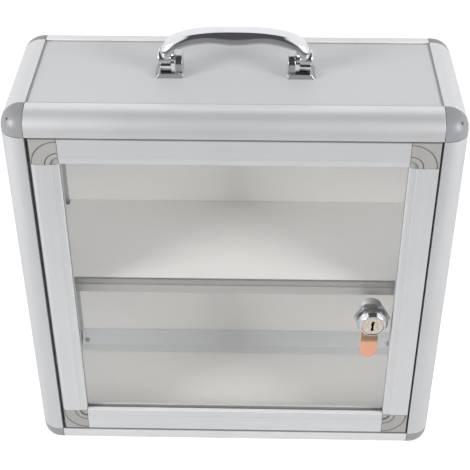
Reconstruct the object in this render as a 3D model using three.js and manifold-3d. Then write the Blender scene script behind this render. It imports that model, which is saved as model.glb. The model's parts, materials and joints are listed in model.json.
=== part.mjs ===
// A countertop display lock box: a shallow cabinet of rounded aluminium edge rails, moulded corner caps and
// thin panels, with a framed clear door on the front, a cam lock through its pane, one shelf and a folding
// handle on top. Millimetres, +X to the right of someone facing the door, +Y to the back, +Z up. The origin
// is the middle of the base.

import * as THREE from "three";
import { RoundedBoxGeometry } from "three/addons/geometries/RoundedBoxGeometry.js";
import { mergeVertices } from "three/addons/utils/BufferGeometryUtils.js";
import Module from "manifold-3d";

// The casing
const boxWidth = 320;
const boxHeight = 320;
const boxDepth = 127;
const panelThickness = 3;
const panelClearance = 0.25; // each side of a panel in its slot
const panelSeat = 5.5; // how far a panel reaches into a rail
const seamGap = 0.3; // between pieces that are cut to meet

// The edge rails: one rounded corner section for every edge, with a door rebate on the four front ones
const railLeg = 17.5;
const railRound = 15;
const railLip = 1.2;
const railInnerReach = 19.2; // the inner lip stands a little past the outer one
const railBevel = 5.6; // the flat inside the corner, measured along each leg
const railWall = 1.4;
const railTongueLength = 12;
const capOverlap = 3; // how far a tongue is rooted in its cap
const rebateWeb = 1.6;
const stopLip = 1.2;
const stopCover = 1.8; // how far the stop lip stands behind the door

// The door
const doorDepth = 10.4;
const doorGap = 1.5;
const hingeGap = 1.7;
const stopGap = 0.6;
const doorFrameWidth = 20.1;
const doorLipWidth = 5.3;
const doorLipDrop = 1;
const doorLipStep = 0.5;
const doorEdgeRound = 0.8;
const doorRearBevel = 2;
const doorFaceWall = 1.6;
const doorChamberStart = 3.2;
const doorGrooveWall = 2; // between the chamber and the pane's groove
const doorTongueLength = 14;
const doorTongueRoot = 6;
const paneThickness = 3;
const paneSetback = 5.2; // from the door's front face to the pane's
const paneSeat = 5.9;
const paneEdgeGap = 0.4;
const pivotInset = 3.8; // from the hinge edge and from the front face to the pin's axis
const pivotPinRadius = 1.4;
const pivotPinInDoor = 9;
const pivotPinInRail = 4.2;
const pivotHoleExtra = 0.6;
const cornerArcRadii = [9.3, 18.6];
const cornerArcWidth = 0.7;
const cornerArcDepth = 0.4;

// The cam lock
const lockInset = 15; // from the door frame's inner edge to the lock's axis
const lockHeight = 135.7;
const lockFaceRadius = 9.8;
const lockFlangeRadius = 11.7;
const lockBezelDepth = 3.4;
const lockBodyRadius = 8.7;
const lockBodyLength = 24;
const lockHoleClearance = 0.3;
const plugFaceRadius = 8.5;
const plugFaceDepth = 1.6;
const plugFaceInset = 0.2;
const plugRadius = 6;
const plugTailSide = 7;
const keywayWidth = 2;
const keywayHeight = 8.6;
const keywayDepth = 9;
const washerRadius = 12;
const washerThickness = 0.6;
const nutAcrossFlats = 24;
const nutThickness = 3.2;
const camWidth = 13.5;
const camThickness = 1.6;
const camCatch = 7.4; // how far the locked cam reaches past the edge of the front rail
const camStopGap = 0.8;
const camHubReach = 15.3;
const camHoleClearance = 0.15;
const camScrewHeadRadius = 4.5;
const camScrewHeadHeight = 2.8;
const camScrewRadius = 2;
const camScrewLength = 7;

// The shelf
const shelfTop = 164;
const shelfThickness = 12;
const shelfFrontSetback = 18;
const shelfTrimDepth = 3;
const shelfTrimGroove = 0.6;
const shelfTrimBand = 4;
const shelfSideGap = 0.3;
const shelfRearGap = 0.4;
const shelfNotchGap = 1;
const shelfNotchDepth = 7;
const pegRadius = 2.5;
const pegReach = 7;
const pegSocketDepth = 1.8;
const pegCollarRadius = 4;
const pegCollarWidth = 1.2;
const pegInsets = [30, 26]; // from the front and the back of the box
const pegClearance = 0.2;

// The handle
const handleHalfSpan = 49.7;
const handleRise = 18;
const handleSquareness = 3;
const handleDip = 1.2;
const handleBump = 21;
const handleDepth = 13;
const handleThickness = 8.8;
const handlePinHeight = 12; // above the bracket's foot
const handlePinRadius = 2;
const handlePinInLeg = 7;
const knuckleRadius = 6.3;
const knuckleWidth = 8.9;
const collarRadius = 4.6;
const collarWidth = 2.6;
const legStart = 1.5; // above the pin's axis
const gripFullness = 0.8; // 1 is an ellipse, and less is squarer
const gripSides = 12;
const gripSteps = 30;
const bracketInner = 37.2;
const bracketLength = 19.5;
const bracketDepth = 19.5;
const bracketBase = 4.2;
const bracketSlope = 3.4; // how far the outer end leans in over the base's thickness
const earWidth = 5;
const earRound = 8.4;
const earHeight = 17.4;
const pinInset = 1; // from the ear's inner face to the end of the pin
const handleScrewRadius = 1.9;
const handleScrewReach = 5;
const handleScrewHeadRadius = 3.5;
const handleScrewHeadHeight = 2.2;

// The blind rivets that hold a rail on a cap's tongue
const rivetInset = 4.6; // from the end of the rail
const rivetRadius = 1.5;
const rivetHeadRadius = 2.5;
const rivetHeadHeight = 1;
const rivetLength = 3.4;

const runningGap = 0.1; // radial, between a pin and what turns on it
const faceGap = 0.1; // between flat faces that bear on each other
const roundSteps = 24;
const smallSteps = 12; // for pins, screws and their holes
const arcSteps = 8;
const cutMargin = 1; // how far a cutter stands out of what it cuts

// Sizes that follow from the ones above
const cornerRound = Math.min(railRound, railLeg - railLip);
const slotWidth = panelThickness + 2 * panelClearance;
const railDepth = 2 * railLip + slotWidth;
const railBevelEnd = railDepth + railBevel;
const slotEnd = railLeg - panelSeat - seamGap;
const panelInset = railLip + panelClearance; // from the box's face to the panel's
const panelInside = panelInset + panelThickness;
const frontFace = -boxDepth / 2;
const backFace = boxDepth / 2;
const stopFront = doorDepth + stopGap;
const stopBack = stopFront + stopLip;
const stopReach = railLeg + doorGap + stopCover;
const doorLeft = -boxWidth / 2 + railLeg + hingeGap;
const doorRight = boxWidth / 2 - railLeg - doorGap;
const doorBottom = railLeg + doorGap;
const doorTop = boxHeight - railLeg - doorGap;
const doorWidth = doorRight - doorLeft;
const doorHeight = doorTop - doorBottom;
const paneBack = paneSetback + paneThickness;
const grooveFront = paneSetback - seamGap;
const grooveBack = paneBack + seamGap;
const grooveDepth = paneSeat + paneEdgeGap;
const doorChamberEnd = doorFrameWidth - grooveDepth - doorGrooveWall;
const hingeX = doorLeft + pivotInset;
const hingeY = frontFace + pivotInset;
const lockX = doorRight - doorFrameWidth - lockInset;
const nutFront = paneBack + washerThickness + 2 * faceGap;
const plugEnd = lockBodyLength + seamGap;
const camBack = plugEnd + faceGap;
const camFront = stopBack + camStopGap;
const camLength = lockInset + doorFrameWidth + doorGap + camCatch;
const camTipStart = camHubReach + camBack - camFront;
const tailEnd = camBack + camThickness + faceGap;
const panelTop = boxHeight - panelInset;
const shelfHalfWidth = boxWidth / 2 - railDepth - shelfSideGap;
const shelfRear = backFace - panelInside - shelfRearGap;
const pinHeight = panelTop + faceGap + handlePinHeight;
const legOuter = handleHalfSpan + knuckleWidth / 2;
const pinEnd = legOuter - knuckleWidth + handlePinInLeg;

const wasm = await Module();
wasm.setup();

const X = new THREE.Vector3(1, 0, 0);
const Y = new THREE.Vector3(0, 1, 0);
const Z = new THREE.Vector3(0, 0, 1);
const minus = (direction) => direction.clone().negate();

// Solids

function solidOf(geometry) {
  const bare = geometry.clone();
  bare.deleteAttribute("normal");
  bare.deleteAttribute("uv");
  const merged = mergeVertices(bare, 1e-4);
  const corners = merged.index.array;
  const kept = [];
  for (let i = 0; i < corners.length; i += 3) {
    const [a, b, c] = [corners[i], corners[i + 1], corners[i + 2]];
    if (a !== b && b !== c && c !== a) kept.push(a, b, c);
  }
  const mesh = new wasm.Mesh({
    numProp: 3,
    vertProperties: merged.attributes.position.array,
    triVerts: new Uint32Array(kept),
  });
  return new wasm.Manifold(mesh);
}

function geometryOf(solid) {
  const mesh = solid.getMesh();
  const geometry = new THREE.BufferGeometry();
  geometry.setAttribute("position", new THREE.BufferAttribute(mesh.vertProperties, 3));
  geometry.setIndex(new THREE.BufferAttribute(mesh.triVerts, 1));
  const faceted = geometry.toNonIndexed();
  faceted.computeVertexNormals();
  return faceted;
}

// A box between two corners.
function blockGeometry(low, high) {
  const size = high.map((value, i) => value - low[i]);
  const geometry = new THREE.BoxGeometry(...size);
  geometry.translate(...low.map((value, i) => value + size[i] / 2));
  return geometry;
}

const block = (low, high) => solidOf(blockGeometry(low, high));

// An outline of [u, v] points, with outlines of holes, extruded to each side of its plane along u cross v.
function prismGeometry(outline, length, holes = []) {
  const flat = (points) => points.map(([u, v]) => new THREE.Vector2(u, v));
  const shape = new THREE.Shape(flat(outline));
  for (const hole of holes) shape.holes.push(new THREE.Path(flat(hole)));
  const geometry = new THREE.ExtrudeGeometry(shape, { depth: length, bevelEnabled: false });
  geometry.translate(0, 0, -length / 2);
  return geometry;
}

// A closed [radius, along] outline turned round the Y axis.
function turnedGeometry(outline, steps = roundSteps) {
  const points = outline.map(([radius, along]) => new THREE.Vector2(radius, along));
  return new THREE.LatheGeometry(points, steps);
}

function rodGeometry(radius, start, end, steps) {
  const outline = [
    [0, start],
    [radius, start],
    [radius, end],
    [0, end],
  ];
  return turnedGeometry(outline, steps);
}

// A rod from a point along a direction, as a cutter or a pin.
function rodAlong(point, direction, radius, length, steps = smallSteps) {
  const geometry = rodGeometry(radius, 0, length, steps);
  geometry.applyQuaternion(new THREE.Quaternion().setFromUnitVectors(Y, direction));
  geometry.translate(point.x, point.y, point.z);
  return solidOf(geometry);
}

// Points on an arc, both ends included, with angles in degrees.
function arc(centreU, centreV, radius, from, to, steps = arcSteps) {
  const points = [];
  for (let i = 0; i <= steps; i += 1) {
    const angle = THREE.MathUtils.degToRad(from + ((to - from) * i) / steps);
    points.push([centreU + radius * Math.cos(angle), centreV + radius * Math.sin(angle)]);
  }
  return points;
}

// Materials

function finish(name, color, roughness, metalness) {
  return new THREE.MeshStandardMaterial({ name, color, roughness, metalness });
}

const satinAluminium = finish("satin_aluminium", 0xd2d3d5, 0.42, 0.9);
const doorAluminium = finish("door_aluminium", 0xcbccce, 0.4, 0.9);
const panelLaminate = finish("panel_laminate", 0xcdced0, 0.55, 0);
const innerBoard = finish("inner_board", 0xc2c1bf, 0.6, 0);
const capPlastic = finish("cap_plastic", 0x9b9c9f, 0.5, 0);
const cornerPlastic = finish("corner_plastic", 0xa7a6a4, 0.5, 0);
const clearPane = finish("clear_pane", 0xf4f6f6, 0.05, 0);
clearPane.transparent = true;
clearPane.opacity = 0.25;
const chromePlate = finish("chrome_plate", 0xe6e7ea, 0.08, 1);
const satinNickel = finish("satin_nickel", 0xd8ccc0, 0.32, 1);
const yellowZinc = finish("yellow_zinc", 0xe0b183, 0.3, 1);
const shelfEdge = finish("shelf_edge", 0xa5a3a0, 0.45, 0.6);
const pegSteel = finish("peg_steel", 0xb9babc, 0.35, 1);
const pinSteel = finish("pin_steel", 0xc4c5c8, 0.3, 1);

// The scene graph: the casing, and the groups that turn

const lockBox = new THREE.Group();
lockBox.name = "display_lock_box";
const casing = new THREE.Group();
const door = new THREE.Group(); // turns about the pivot pins
door.position.set(hingeX, hingeY, 0);
const lock = new THREE.Group(); // turns about the lock's axis
lock.position.set(lockX - hingeX, frontFace - hingeY, lockHeight);
const handle = new THREE.Group(); // turns about its pins
handle.position.set(0, 0, pinHeight);
lockBox.add(casing, door, handle);
door.add(lock);

function add(group, name, shape, material, position = [0, 0, 0]) {
  const geometry = shape.isBufferGeometry ? shape : geometryOf(shape);
  const mesh = new THREE.Mesh(geometry, material);
  mesh.name = name;
  mesh.position.set(...position);
  group.add(mesh);
  return mesh;
}

// Turns a mesh so that its own X and Y run along two directions at right angles.
function aim(mesh, alongX, alongY) {
  const alongZ = alongX.clone().cross(alongY);
  mesh.quaternion.setFromRotationMatrix(new THREE.Matrix4().makeBasis(alongX, alongY, alongZ));
  return mesh;
}

// Cuts a mesh with rods that are given where the finished part holds them.
function drillInPlace(mesh, holes) {
  lockBox.updateMatrixWorld(true);
  const toMesh = mesh.matrixWorld.clone().invert();
  let solid = solidOf(mesh.geometry);
  for (const { point, direction, radius, length } of holes) {
    const start = point.clone().applyMatrix4(toMesh);
    const way = direction.clone().transformDirection(toMesh);
    solid = solid.subtract(rodAlong(start, way, radius, length));
  }
  mesh.geometry = geometryOf(solid);
}

// Edge rails. Their section is drawn in u and v, the depths from the two outer faces that meet at the edge.

function chamberOutline(gap) {
  const radius = cornerRound - railWall - gap;
  const reach = slotEnd - railLip - gap;
  const bevelSum = railDepth + railBevelEnd - (railWall + gap) * Math.SQRT2;
  const lean = THREE.MathUtils.radToDeg(Math.asin((cornerRound - reach) / radius));
  return [
    ...arc(cornerRound, cornerRound, radius, 180 + lean, 270 - lean),
    [reach, bevelSum - reach],
    [bevelSum - reach, reach],
  ];
}

// The end of the leg that lies on the v = 0 face and takes a panel, from its outer corner to the bevel.
const slottedLegEnd = [
  [railLeg, 0],
  [railLeg, railLip],
  [slotEnd, railLip],
  [slotEnd, railLip + slotWidth],
  [railInnerReach, railLip + slotWidth],
  [railInnerReach, railDepth],
  [railBevelEnd, railDepth],
];

const outerRound = arc(cornerRound, cornerRound, cornerRound, 180, 270);
const swapped = (outline) => outline.map(([u, v]) => [v, u]).reverse();
const railOutline = [...outerRound, ...slottedLegEnd, ...swapped(slottedLegEnd)];

// On the front rails the leg on the u = 0 face ends in a rebate, with a lip that the door closes on.
const rebatedLegEnd = [
  [railDepth, railBevelEnd],
  [railDepth, railLeg - rebateWeb],
  [stopBack, railLeg - rebateWeb],
  [stopBack, stopReach],
  [stopFront, stopReach],
  [stopFront, railLeg],
  [0, railLeg],
];
const frontRailOutline = [...outerRound, ...slottedLegEnd, ...rebatedLegEnd];

const spans = { x: boxWidth, y: boxDepth, z: boxHeight };

// A rail on the edge where two faces meet; inwardU and inwardV point into the box from them.
function addRail(name, axis, position, inwardU, inwardV, outline) {
  const length = spans[axis] - 2 * (railLeg + seamGap);
  let solid = solidOf(prismGeometry(outline, length, [chamberOutline(0)]));
  // The inner lips end short of the lips of the rails that they meet.
  const lipCut = railInnerReach - railLeg;
  const across = [-cutMargin, railDepth + cutMargin];
  const along = [railLeg, railInnerReach + cutMargin];
  for (const [from, to] of [
    [-length / 2 - cutMargin, -length / 2 + lipCut],
    [length / 2 - lipCut, length / 2 + cutMargin],
  ]) {
    solid = solid.subtract(block([along[0], across[0], from], [along[1], across[1], to]));
    solid = solid.subtract(block([across[0], along[0], from], [across[1], along[1], to]));
  }
  return aim(add(casing, name, solid, satinAluminium, position), inwardU, inwardV);
}

const halfWidth = boxWidth / 2;
const middle = boxHeight / 2;

function addEdgeRails() {
  addRail("front_left_post", "z", [-halfWidth, frontFace, middle], Y, X, frontRailOutline);
  addRail("front_right_post", "z", [halfWidth, frontFace, middle], Y, minus(X), frontRailOutline);
  addRail("back_left_post", "z", [-halfWidth, backFace, middle], minus(Y), X, railOutline);
  addRail("back_right_post", "z", [halfWidth, backFace, middle], minus(Y), minus(X), railOutline);
  addRail("left_top_rail", "y", [-halfWidth, 0, boxHeight], X, minus(Z), railOutline);
  addRail("left_bottom_rail", "y", [-halfWidth, 0, 0], X, Z, railOutline);
  addRail("right_top_rail", "y", [halfWidth, 0, boxHeight], minus(X), minus(Z), railOutline);
  addRail("right_bottom_rail", "y", [halfWidth, 0, 0], minus(X), Z, railOutline);
  addRail("back_top_rail", "x", [0, backFace, boxHeight], minus(Y), minus(Z), railOutline);
  addRail("back_bottom_rail", "x", [0, backFace, 0], minus(Y), Z, railOutline);
  addLevelFrontRail("front_top_rail", boxHeight, minus(Z));
  addLevelFrontRail("front_bottom_rail", 0, Z);
}

// The level front rails' stop lips end short of the posts' lips, and their legs hold the pivot pins.
function addLevelFrontRail(name, height, inward) {
  const mesh = addRail(name, "x", [0, frontFace, height], Y, inward, frontRailOutline);
  const lipEnd = halfWidth - stopReach - seamGap;
  let solid = solidOf(mesh.geometry);
  for (const side of [-1, 1]) {
    const ends = [side * lipEnd, side * halfWidth].sort((a, b) => a - b);
    const low = [stopFront - seamGap, railLeg, ends[0]];
    const high = [stopBack + cutMargin, stopReach + cutMargin, ends[1]];
    solid = solid.subtract(block(low, high));
  }
  mesh.geometry = geometryOf(solid);
  const mouth = new THREE.Vector3(hingeX, hingeY, height + inward.z * (railLeg + cutMargin));
  drillInPlace(mesh, [
    {
      point: mouth,
      direction: minus(inward),
      radius: pivotPinRadius + runningGap,
      length: pivotPinInRail + pivotHoleExtra + cutMargin,
    },
  ]);
}

// Corner caps: a ball corner with three walls, and a tongue into each of the three rails that meet at it.

function capSolid() {
  const side = 2 * railLeg;
  const rounded = new RoundedBoxGeometry(side, side, side, arcSteps / 2, cornerRound);
  rounded.translate(railLeg, railLeg, railLeg);
  let solid = solidOf(rounded).intersect(block([0, 0, 0], [railLeg, railLeg, railLeg]));
  const hollowEnd = railLeg + cutMargin;
  solid = solid.subtract(block([railDepth, railDepth, railDepth], [hollowEnd, hollowEnd, hollowEnd]));
  const length = railTongueLength + capOverlap;
  const tongue = prismGeometry(chamberOutline(seamGap), length);
  tongue.translate(0, 0, railLeg - capOverlap + length / 2);
  const pairs = [
    [X, Y],
    [Y, Z],
    [Z, X],
  ];
  for (const [u, v] of pairs) {
    const turned = tongue.clone();
    turned.applyMatrix4(new THREE.Matrix4().makeBasis(u, v, u.clone().cross(v)));
    solid = solid.add(solidOf(turned));
  }
  return solid;
}

const places = {
  front: frontFace,
  back: backFace,
  bottom: 0,
  top: boxHeight,
  left: -halfWidth,
  right: halfWidth,
};

function addCornerCaps() {
  const shape = geometryOf(capSolid());
  for (const depth of ["front", "back"]) {
    for (const level of ["bottom", "top"]) {
      for (const side of ["left", "right"]) {
        const inX = side === "left" ? X : minus(X);
        const inY = depth === "front" ? Y : minus(Y);
        const inZ = level === "bottom" ? Z : minus(Z);
        const righted = inX.clone().cross(inY).dot(inZ) > 0;
        const position = [places[side], places[depth], places[level]];
        const name = `corner_cap_${depth}_${level}_${side}`;
        const cap = add(casing, name, shape.clone(), capPlastic, position);
        aim(cap, righted ? inX : inY, righted ? inY : inX);
      }
    }
  }
}

// Panels: a sheet in the slots of the rails round it, notched at its corners for the caps.

function panelOutline(width, height) {
  const reachU = width / 2 - railLeg + panelSeat;
  const reachV = height / 2 - railLeg + panelSeat;
  const notchU = width / 2 - railLeg - seamGap;
  const notchV = height / 2 - railLeg - seamGap;
  const quarter = [
    [notchU, reachV],
    [notchU, notchV],
    [reachU, notchV],
  ];
  const mirroredU = quarter.map(([u, v]) => [-u, v]).reverse();
  const lower = [...mirroredU, ...quarter].map(([u, v]) => [u, -v]).reverse();
  return [...mirroredU, ...quarter, ...lower];
}

const panelMiddle = panelInset + panelThickness / 2;

function addPanels() {
  const level = prismGeometry(panelOutline(boxWidth, boxDepth), panelThickness);
  const upright = prismGeometry(panelOutline(boxDepth, boxHeight), panelThickness);
  const back = prismGeometry(panelOutline(boxWidth, boxHeight), panelThickness);
  add(casing, "top_panel", level, panelLaminate, [0, 0, boxHeight - panelMiddle]);
  add(casing, "bottom_panel", level.clone(), innerBoard, [0, 0, panelMiddle]);
  const sideX = halfWidth - panelMiddle;
  const left = add(casing, "left_panel", upright, panelLaminate, [-sideX, 0, middle]);
  const right = add(casing, "right_panel", upright.clone(), panelLaminate, [sideX, 0, middle]);
  const rear = add(casing, "back_panel", back, innerBoard, [0, backFace - panelMiddle, middle]);
  aim(left, Y, Z);
  aim(right, Y, Z);
  aim(rear, X, Z);
}

// Rivets through the inside bevel of the back rails, near their ends, into the caps' tongues.

function addRivets() {
  const bevelMiddle = (railDepth + railBevelEnd) / 2;
  const rivetX = halfWidth - railLeg - seamGap - rivetInset;
  const outline = [
    [0, -rivetLength],
    [rivetRadius, -rivetLength],
    [rivetRadius, faceGap],
    [rivetHeadRadius, faceGap],
    [rivetHeadRadius * 0.7, rivetHeadHeight],
    [0, rivetHeadHeight + faceGap],
  ];
  for (const level of ["bottom", "top"]) {
    const inZ = level === "bottom" ? 1 : -1;
    const outward = new THREE.Vector3(0, -1, inZ).normalize();
    for (const side of ["left", "right"]) {
      const x = side === "left" ? -rivetX : rivetX;
      const seat = new THREE.Vector3(x, backFace - bevelMiddle, places[level] + inZ * bevelMiddle);
      const shape = turnedGeometry(outline, smallSteps);
      const rivet = add(casing, `rail_rivet_${level}_${side}`, shape, pinSteel, seat.toArray());
      aim(rivet, X, outward);
      const hole = {
        point: seat.clone().addScaledVector(outward, cutMargin),
        direction: minus(outward),
        radius: rivetRadius + runningGap,
        length: rivetLength + seamGap + cutMargin,
      };
      drillInPlace(casing.getObjectByName(`back_${level}_rail`), [hole]);
      drillInPlace(casing.getObjectByName(`corner_cap_back_${level}_${side}`), [hole]);
    }
  }
}

// The door frame. Its section is drawn in u, in from the door's edge, and v, the depth from its front.

function doorEdge(round) {
  return [
    [doorRearBevel, doorDepth],
    [0, doorDepth - doorRearBevel],
    ...arc(round, round, round, 180, 270),
  ];
}

function frameOutline(round) {
  const lipStart = doorFrameWidth - doorLipWidth;
  return [
    ...doorEdge(round),
    [lipStart, 0],
    [lipStart + doorLipStep, doorLipStep],
    [doorFrameWidth - doorLipStep, doorLipDrop],
    [doorFrameWidth, doorLipDrop + doorLipStep],
    [doorFrameWidth, grooveFront],
    [doorFrameWidth - grooveDepth, grooveFront],
    [doorFrameWidth - grooveDepth, grooveBack],
    [doorFrameWidth, grooveBack],
    [doorFrameWidth, doorDepth],
  ];
}

const doorChamber = [
  [doorChamberStart, doorFaceWall],
  [doorChamberEnd, doorFaceWall],
  [doorChamberEnd, doorDepth - doorFaceWall],
  [doorChamberStart, doorDepth - doorFaceWall],
];

// A place in the door's own group, from the door's lower left front corner.
const inDoor = (x, y, z) => [x - pivotInset, y - pivotInset, doorBottom + z];

function addDoorBars() {
  const bars = [
    ["door_hinge_stile", doorHeight, pivotInset, inDoor(0, 0, doorHeight / 2), X],
    ["door_lock_stile", doorHeight, doorEdgeRound, inDoor(doorWidth, 0, doorHeight / 2), minus(X)],
    ["door_bottom_rail", doorWidth, doorEdgeRound, inDoor(doorWidth / 2, 0, 0), Z],
    ["door_top_rail", doorWidth, doorEdgeRound, inDoor(doorWidth / 2, 0, doorHeight), minus(Z)],
  ];
  for (const [name, span, round, position, inward] of bars) {
    const length = span - 2 * (doorFrameWidth + seamGap);
    const shape = prismGeometry(frameOutline(round), length, [doorChamber]);
    aim(add(door, name, shape, doorAluminium, position), inward, Y);
  }
}

// A moulded corner of the door: a square block with a tongue into each bar, a pocket for the pane's corner,
// and two engraved arcs round the inner corner.
function doorCornerSolid(roundU, roundW) {
  const span = 2 * doorFrameWidth;
  const back = [[doorFrameWidth, doorDepth]];
  const front = [[doorFrameWidth, 0]];
  const alongW = prismGeometry([...doorEdge(roundU), ...front, ...back], span);
  const alongU = prismGeometry([...doorEdge(roundW), ...front, ...back], span);
  alongU.applyMatrix4(new THREE.Matrix4().makeBasis(Z, Y, minus(X)));
  const reach = doorFrameWidth;
  let solid = solidOf(alongW).intersect(solidOf(alongU));
  solid = solid.intersect(block([0, 0, 0], [reach, doorDepth, reach]));
  const [pocket, open] = [reach - grooveDepth, reach + cutMargin];
  solid = solid.subtract(block([pocket, grooveFront, pocket], [open, grooveBack, open]));
  const [near, far] = [doorFaceWall + seamGap, doorDepth - doorFaceWall - seamGap];
  const [low, high] = [doorChamberStart + seamGap, doorChamberEnd - seamGap];
  const [root, tip] = [reach - doorTongueRoot, reach + doorTongueLength];
  solid = solid.add(block([low, near, root], [high, far, tip]));
  solid = solid.add(block([root, near, low], [tip, far, high]));
  for (const radius of cornerArcRadii) {
    const ring = turnedGeometry([
      [radius - cornerArcWidth / 2, -cutMargin],
      [radius + cornerArcWidth / 2, -cutMargin],
      [radius + cornerArcWidth / 2, cornerArcDepth],
      [radius - cornerArcWidth / 2, cornerArcDepth],
      [radius - cornerArcWidth / 2, -cutMargin],
    ]);
    ring.translate(reach, 0, reach);
    solid = solid.subtract(solidOf(ring));
  }
  const dish = rodGeometry(doorLipWidth, -cutMargin, doorLipDrop, roundSteps);
  dish.translate(reach, 0, reach);
  return solid.subtract(solidOf(dish));
}

function addDoorCorners() {
  const plain = doorEdgeRound;
  const corners = [
    ["bottom_left", pivotInset, plain, inDoor(0, 0, 0), X],
    ["top_left", plain, pivotInset, inDoor(0, 0, doorHeight), minus(Z)],
    ["bottom_right", plain, plain, inDoor(doorWidth, 0, 0), Z],
    ["top_right", plain, plain, inDoor(doorWidth, 0, doorHeight), minus(X)],
  ];
  for (const [place, roundU, roundW, position, alongU] of corners) {
    const shape = doorCornerSolid(roundU, roundW);
    aim(add(door, `door_corner_${place}`, shape, cornerPlastic, position), alongU, Y);
  }
}

function addPivotPins() {
  for (const level of ["lower", "upper"]) {
    const side = level === "lower" ? -1 : 1;
    const edge = level === "lower" ? doorBottom : doorTop;
    const outward = new THREE.Vector3(0, 0, side);
    const inDoorEnd = edge - side * pivotPinInDoor;
    const length = pivotPinInDoor + doorGap + pivotPinInRail;
    const pin = rodAlong(new THREE.Vector3(), outward, pivotPinRadius, length);
    add(door, `${level}_pivot_pin`, pin, pinSteel, [0, 0, inDoorEnd]);
    const corner = door.getObjectByName(`door_corner_${level === "lower" ? "bottom" : "top"}_left`);
    const mouth = new THREE.Vector3(hingeX, hingeY, edge + side * cutMargin);
    const depth = pivotPinInDoor + seamGap + cutMargin;
    drillInPlace(corner, [
      { point: mouth, direction: minus(outward), radius: pivotPinRadius + runningGap, length: depth },
    ]);
  }
}

function addPane() {
  const inset = doorFrameWidth - paneSeat;
  const [halfU, halfV] = [doorWidth / 2 - inset, doorHeight / 2 - inset];
  const outline = [
    [-halfU, -halfV],
    [halfU, -halfV],
    [halfU, halfV],
    [-halfU, halfV],
  ];
  const across = lockX - (doorLeft + doorRight) / 2;
  const up = lockHeight - (doorBottom + doorTop) / 2;
  const hole = arc(across, up, lockBodyRadius + lockHoleClearance, 0, 360, roundSteps);
  const shape = prismGeometry(outline, paneThickness, [hole.slice(0, -1)]);
  const position = inDoor(doorWidth / 2, paneSetback + paneThickness / 2, doorHeight / 2);
  const upright = new THREE.Matrix4().makeBasis(X, Z, minus(Y));
  shape.applyMatrix4(upright);
  add(door, "door_pane", shape, clearPane, position);
}

// The cam lock: its body, washer and nut stay on the pane, and its plug, cam and screw turn. Depths are from
// the door's front.

function addLockBody() {
  const recess = plugFaceRadius + 2 * runningGap;
  const recessEnd = plugFaceInset + plugFaceDepth + runningGap;
  const bore = plugRadius + runningGap;
  const outline = [
    [recess, 0],
    [lockFaceRadius, 0],
    [lockFlangeRadius, lockBezelDepth],
    [lockFlangeRadius, paneSetback - faceGap],
    [lockBodyRadius, paneSetback - faceGap],
    [lockBodyRadius, lockBodyLength],
    [bore, lockBodyLength],
    [bore, recessEnd],
    [recess, recessEnd],
    [recess, 0],
  ];
  const place = lock.position.toArray();
  add(door, "lock_body", turnedGeometry(outline), chromePlate, place);
  const rings = [
    ["lock_washer", arc(0, 0, washerRadius, 0, 360, roundSteps), paneBack + faceGap, washerThickness],
    ["lock_nut", arc(0, 0, nutAcrossFlats / Math.sqrt(3), 0, 360, 6), nutFront, nutThickness],
  ];
  for (const [name, closed, start, thickness] of rings) {
    const hole = arc(0, 0, lockBodyRadius + lockHoleClearance, 0, 360, roundSteps);
    const ring = prismGeometry(closed.slice(0, -1), thickness, [hole.slice(0, -1)]);
    ring.applyMatrix4(new THREE.Matrix4().makeBasis(X, Z, minus(Y)));
    add(door, name, ring, chromePlate, [place[0], place[1] + start + thickness / 2, place[2]]);
  }
}

function plugSolid() {
  const outline = [
    [0, plugFaceInset],
    [plugFaceRadius, plugFaceInset],
    [plugFaceRadius, plugFaceInset + plugFaceDepth],
    [plugRadius, plugFaceInset + plugFaceDepth],
    [plugRadius, plugEnd],
    [0, plugEnd],
  ];
  const half = plugTailSide / 2;
  const tail = block([-half, plugEnd - cutMargin, -half], [half, tailEnd - faceGap, half]);
  const [slotSide, slotRise] = [keywayWidth / 2, keywayHeight / 2];
  const keyway = block([-slotSide, -cutMargin, -slotRise], [slotSide, keywayDepth, slotRise]);
  const boreStart = tailEnd - camScrewLength - seamGap;
  const bore = rodGeometry(camScrewRadius + runningGap, boreStart, tailEnd + cutMargin, smallSteps);
  return solidOf(turnedGeometry(outline)).add(tail).subtract(keyway).subtract(solidOf(bore));
}

// The cam: a strip cranked forward so that its tip swings just behind the stop lip. Unlocked, it hangs down.
function camSolid() {
  const crankTurn = camThickness * Math.tan(Math.PI / 8);
  const side = [
    [camBack, camWidth / 2],
    [camBack, -camHubReach + crankTurn],
    [camFront, -camTipStart + crankTurn],
    [camFront, -camLength],
    [camFront + camThickness, -camLength],
    [camFront + camThickness, -camTipStart],
    [camBack + camThickness, -camHubReach],
    [camBack + camThickness, camWidth / 2],
  ];
  const strip = prismGeometry(side, camWidth);
  strip.applyMatrix4(new THREE.Matrix4().makeBasis(Y, Z, X));
  const end = camWidth / 2;
  const front = [...arc(0, 0, end, 0, 180), ...arc(0, -camLength + end, end, 180, 360)];
  const reach = 2 * (camBack + camThickness + cutMargin);
  const outline = prismGeometry(front, reach);
  outline.applyMatrix4(new THREE.Matrix4().makeBasis(X, Z, minus(Y)));
  const half = plugTailSide / 2 + camHoleClearance;
  const hole = block([-half, 0, -half], [half, camBack + camThickness + cutMargin, half]);
  return solidOf(strip).intersect(solidOf(outline)).subtract(hole);
}

function addLockCylinder() {
  add(lock, "lock_plug", plugSolid(), satinNickel);
  add(lock, "lock_cam", camSolid(), yellowZinc);
  const headEnd = tailEnd + camScrewHeadHeight;
  const outline = [
    [0, tailEnd - camScrewLength],
    [camScrewRadius, tailEnd - camScrewLength],
    [camScrewRadius, tailEnd],
    [camScrewHeadRadius, tailEnd],
    [camScrewHeadRadius, headEnd - camScrewHeadHeight / 3],
    [camScrewHeadRadius * 0.7, headEnd],
    [0, headEnd],
  ];
  add(lock, "cam_screw", turnedGeometry(outline, smallSteps), pinSteel);
}

// The shelf: a board with an edge trim, notched for the back posts, on four pegs in the side panels.

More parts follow.
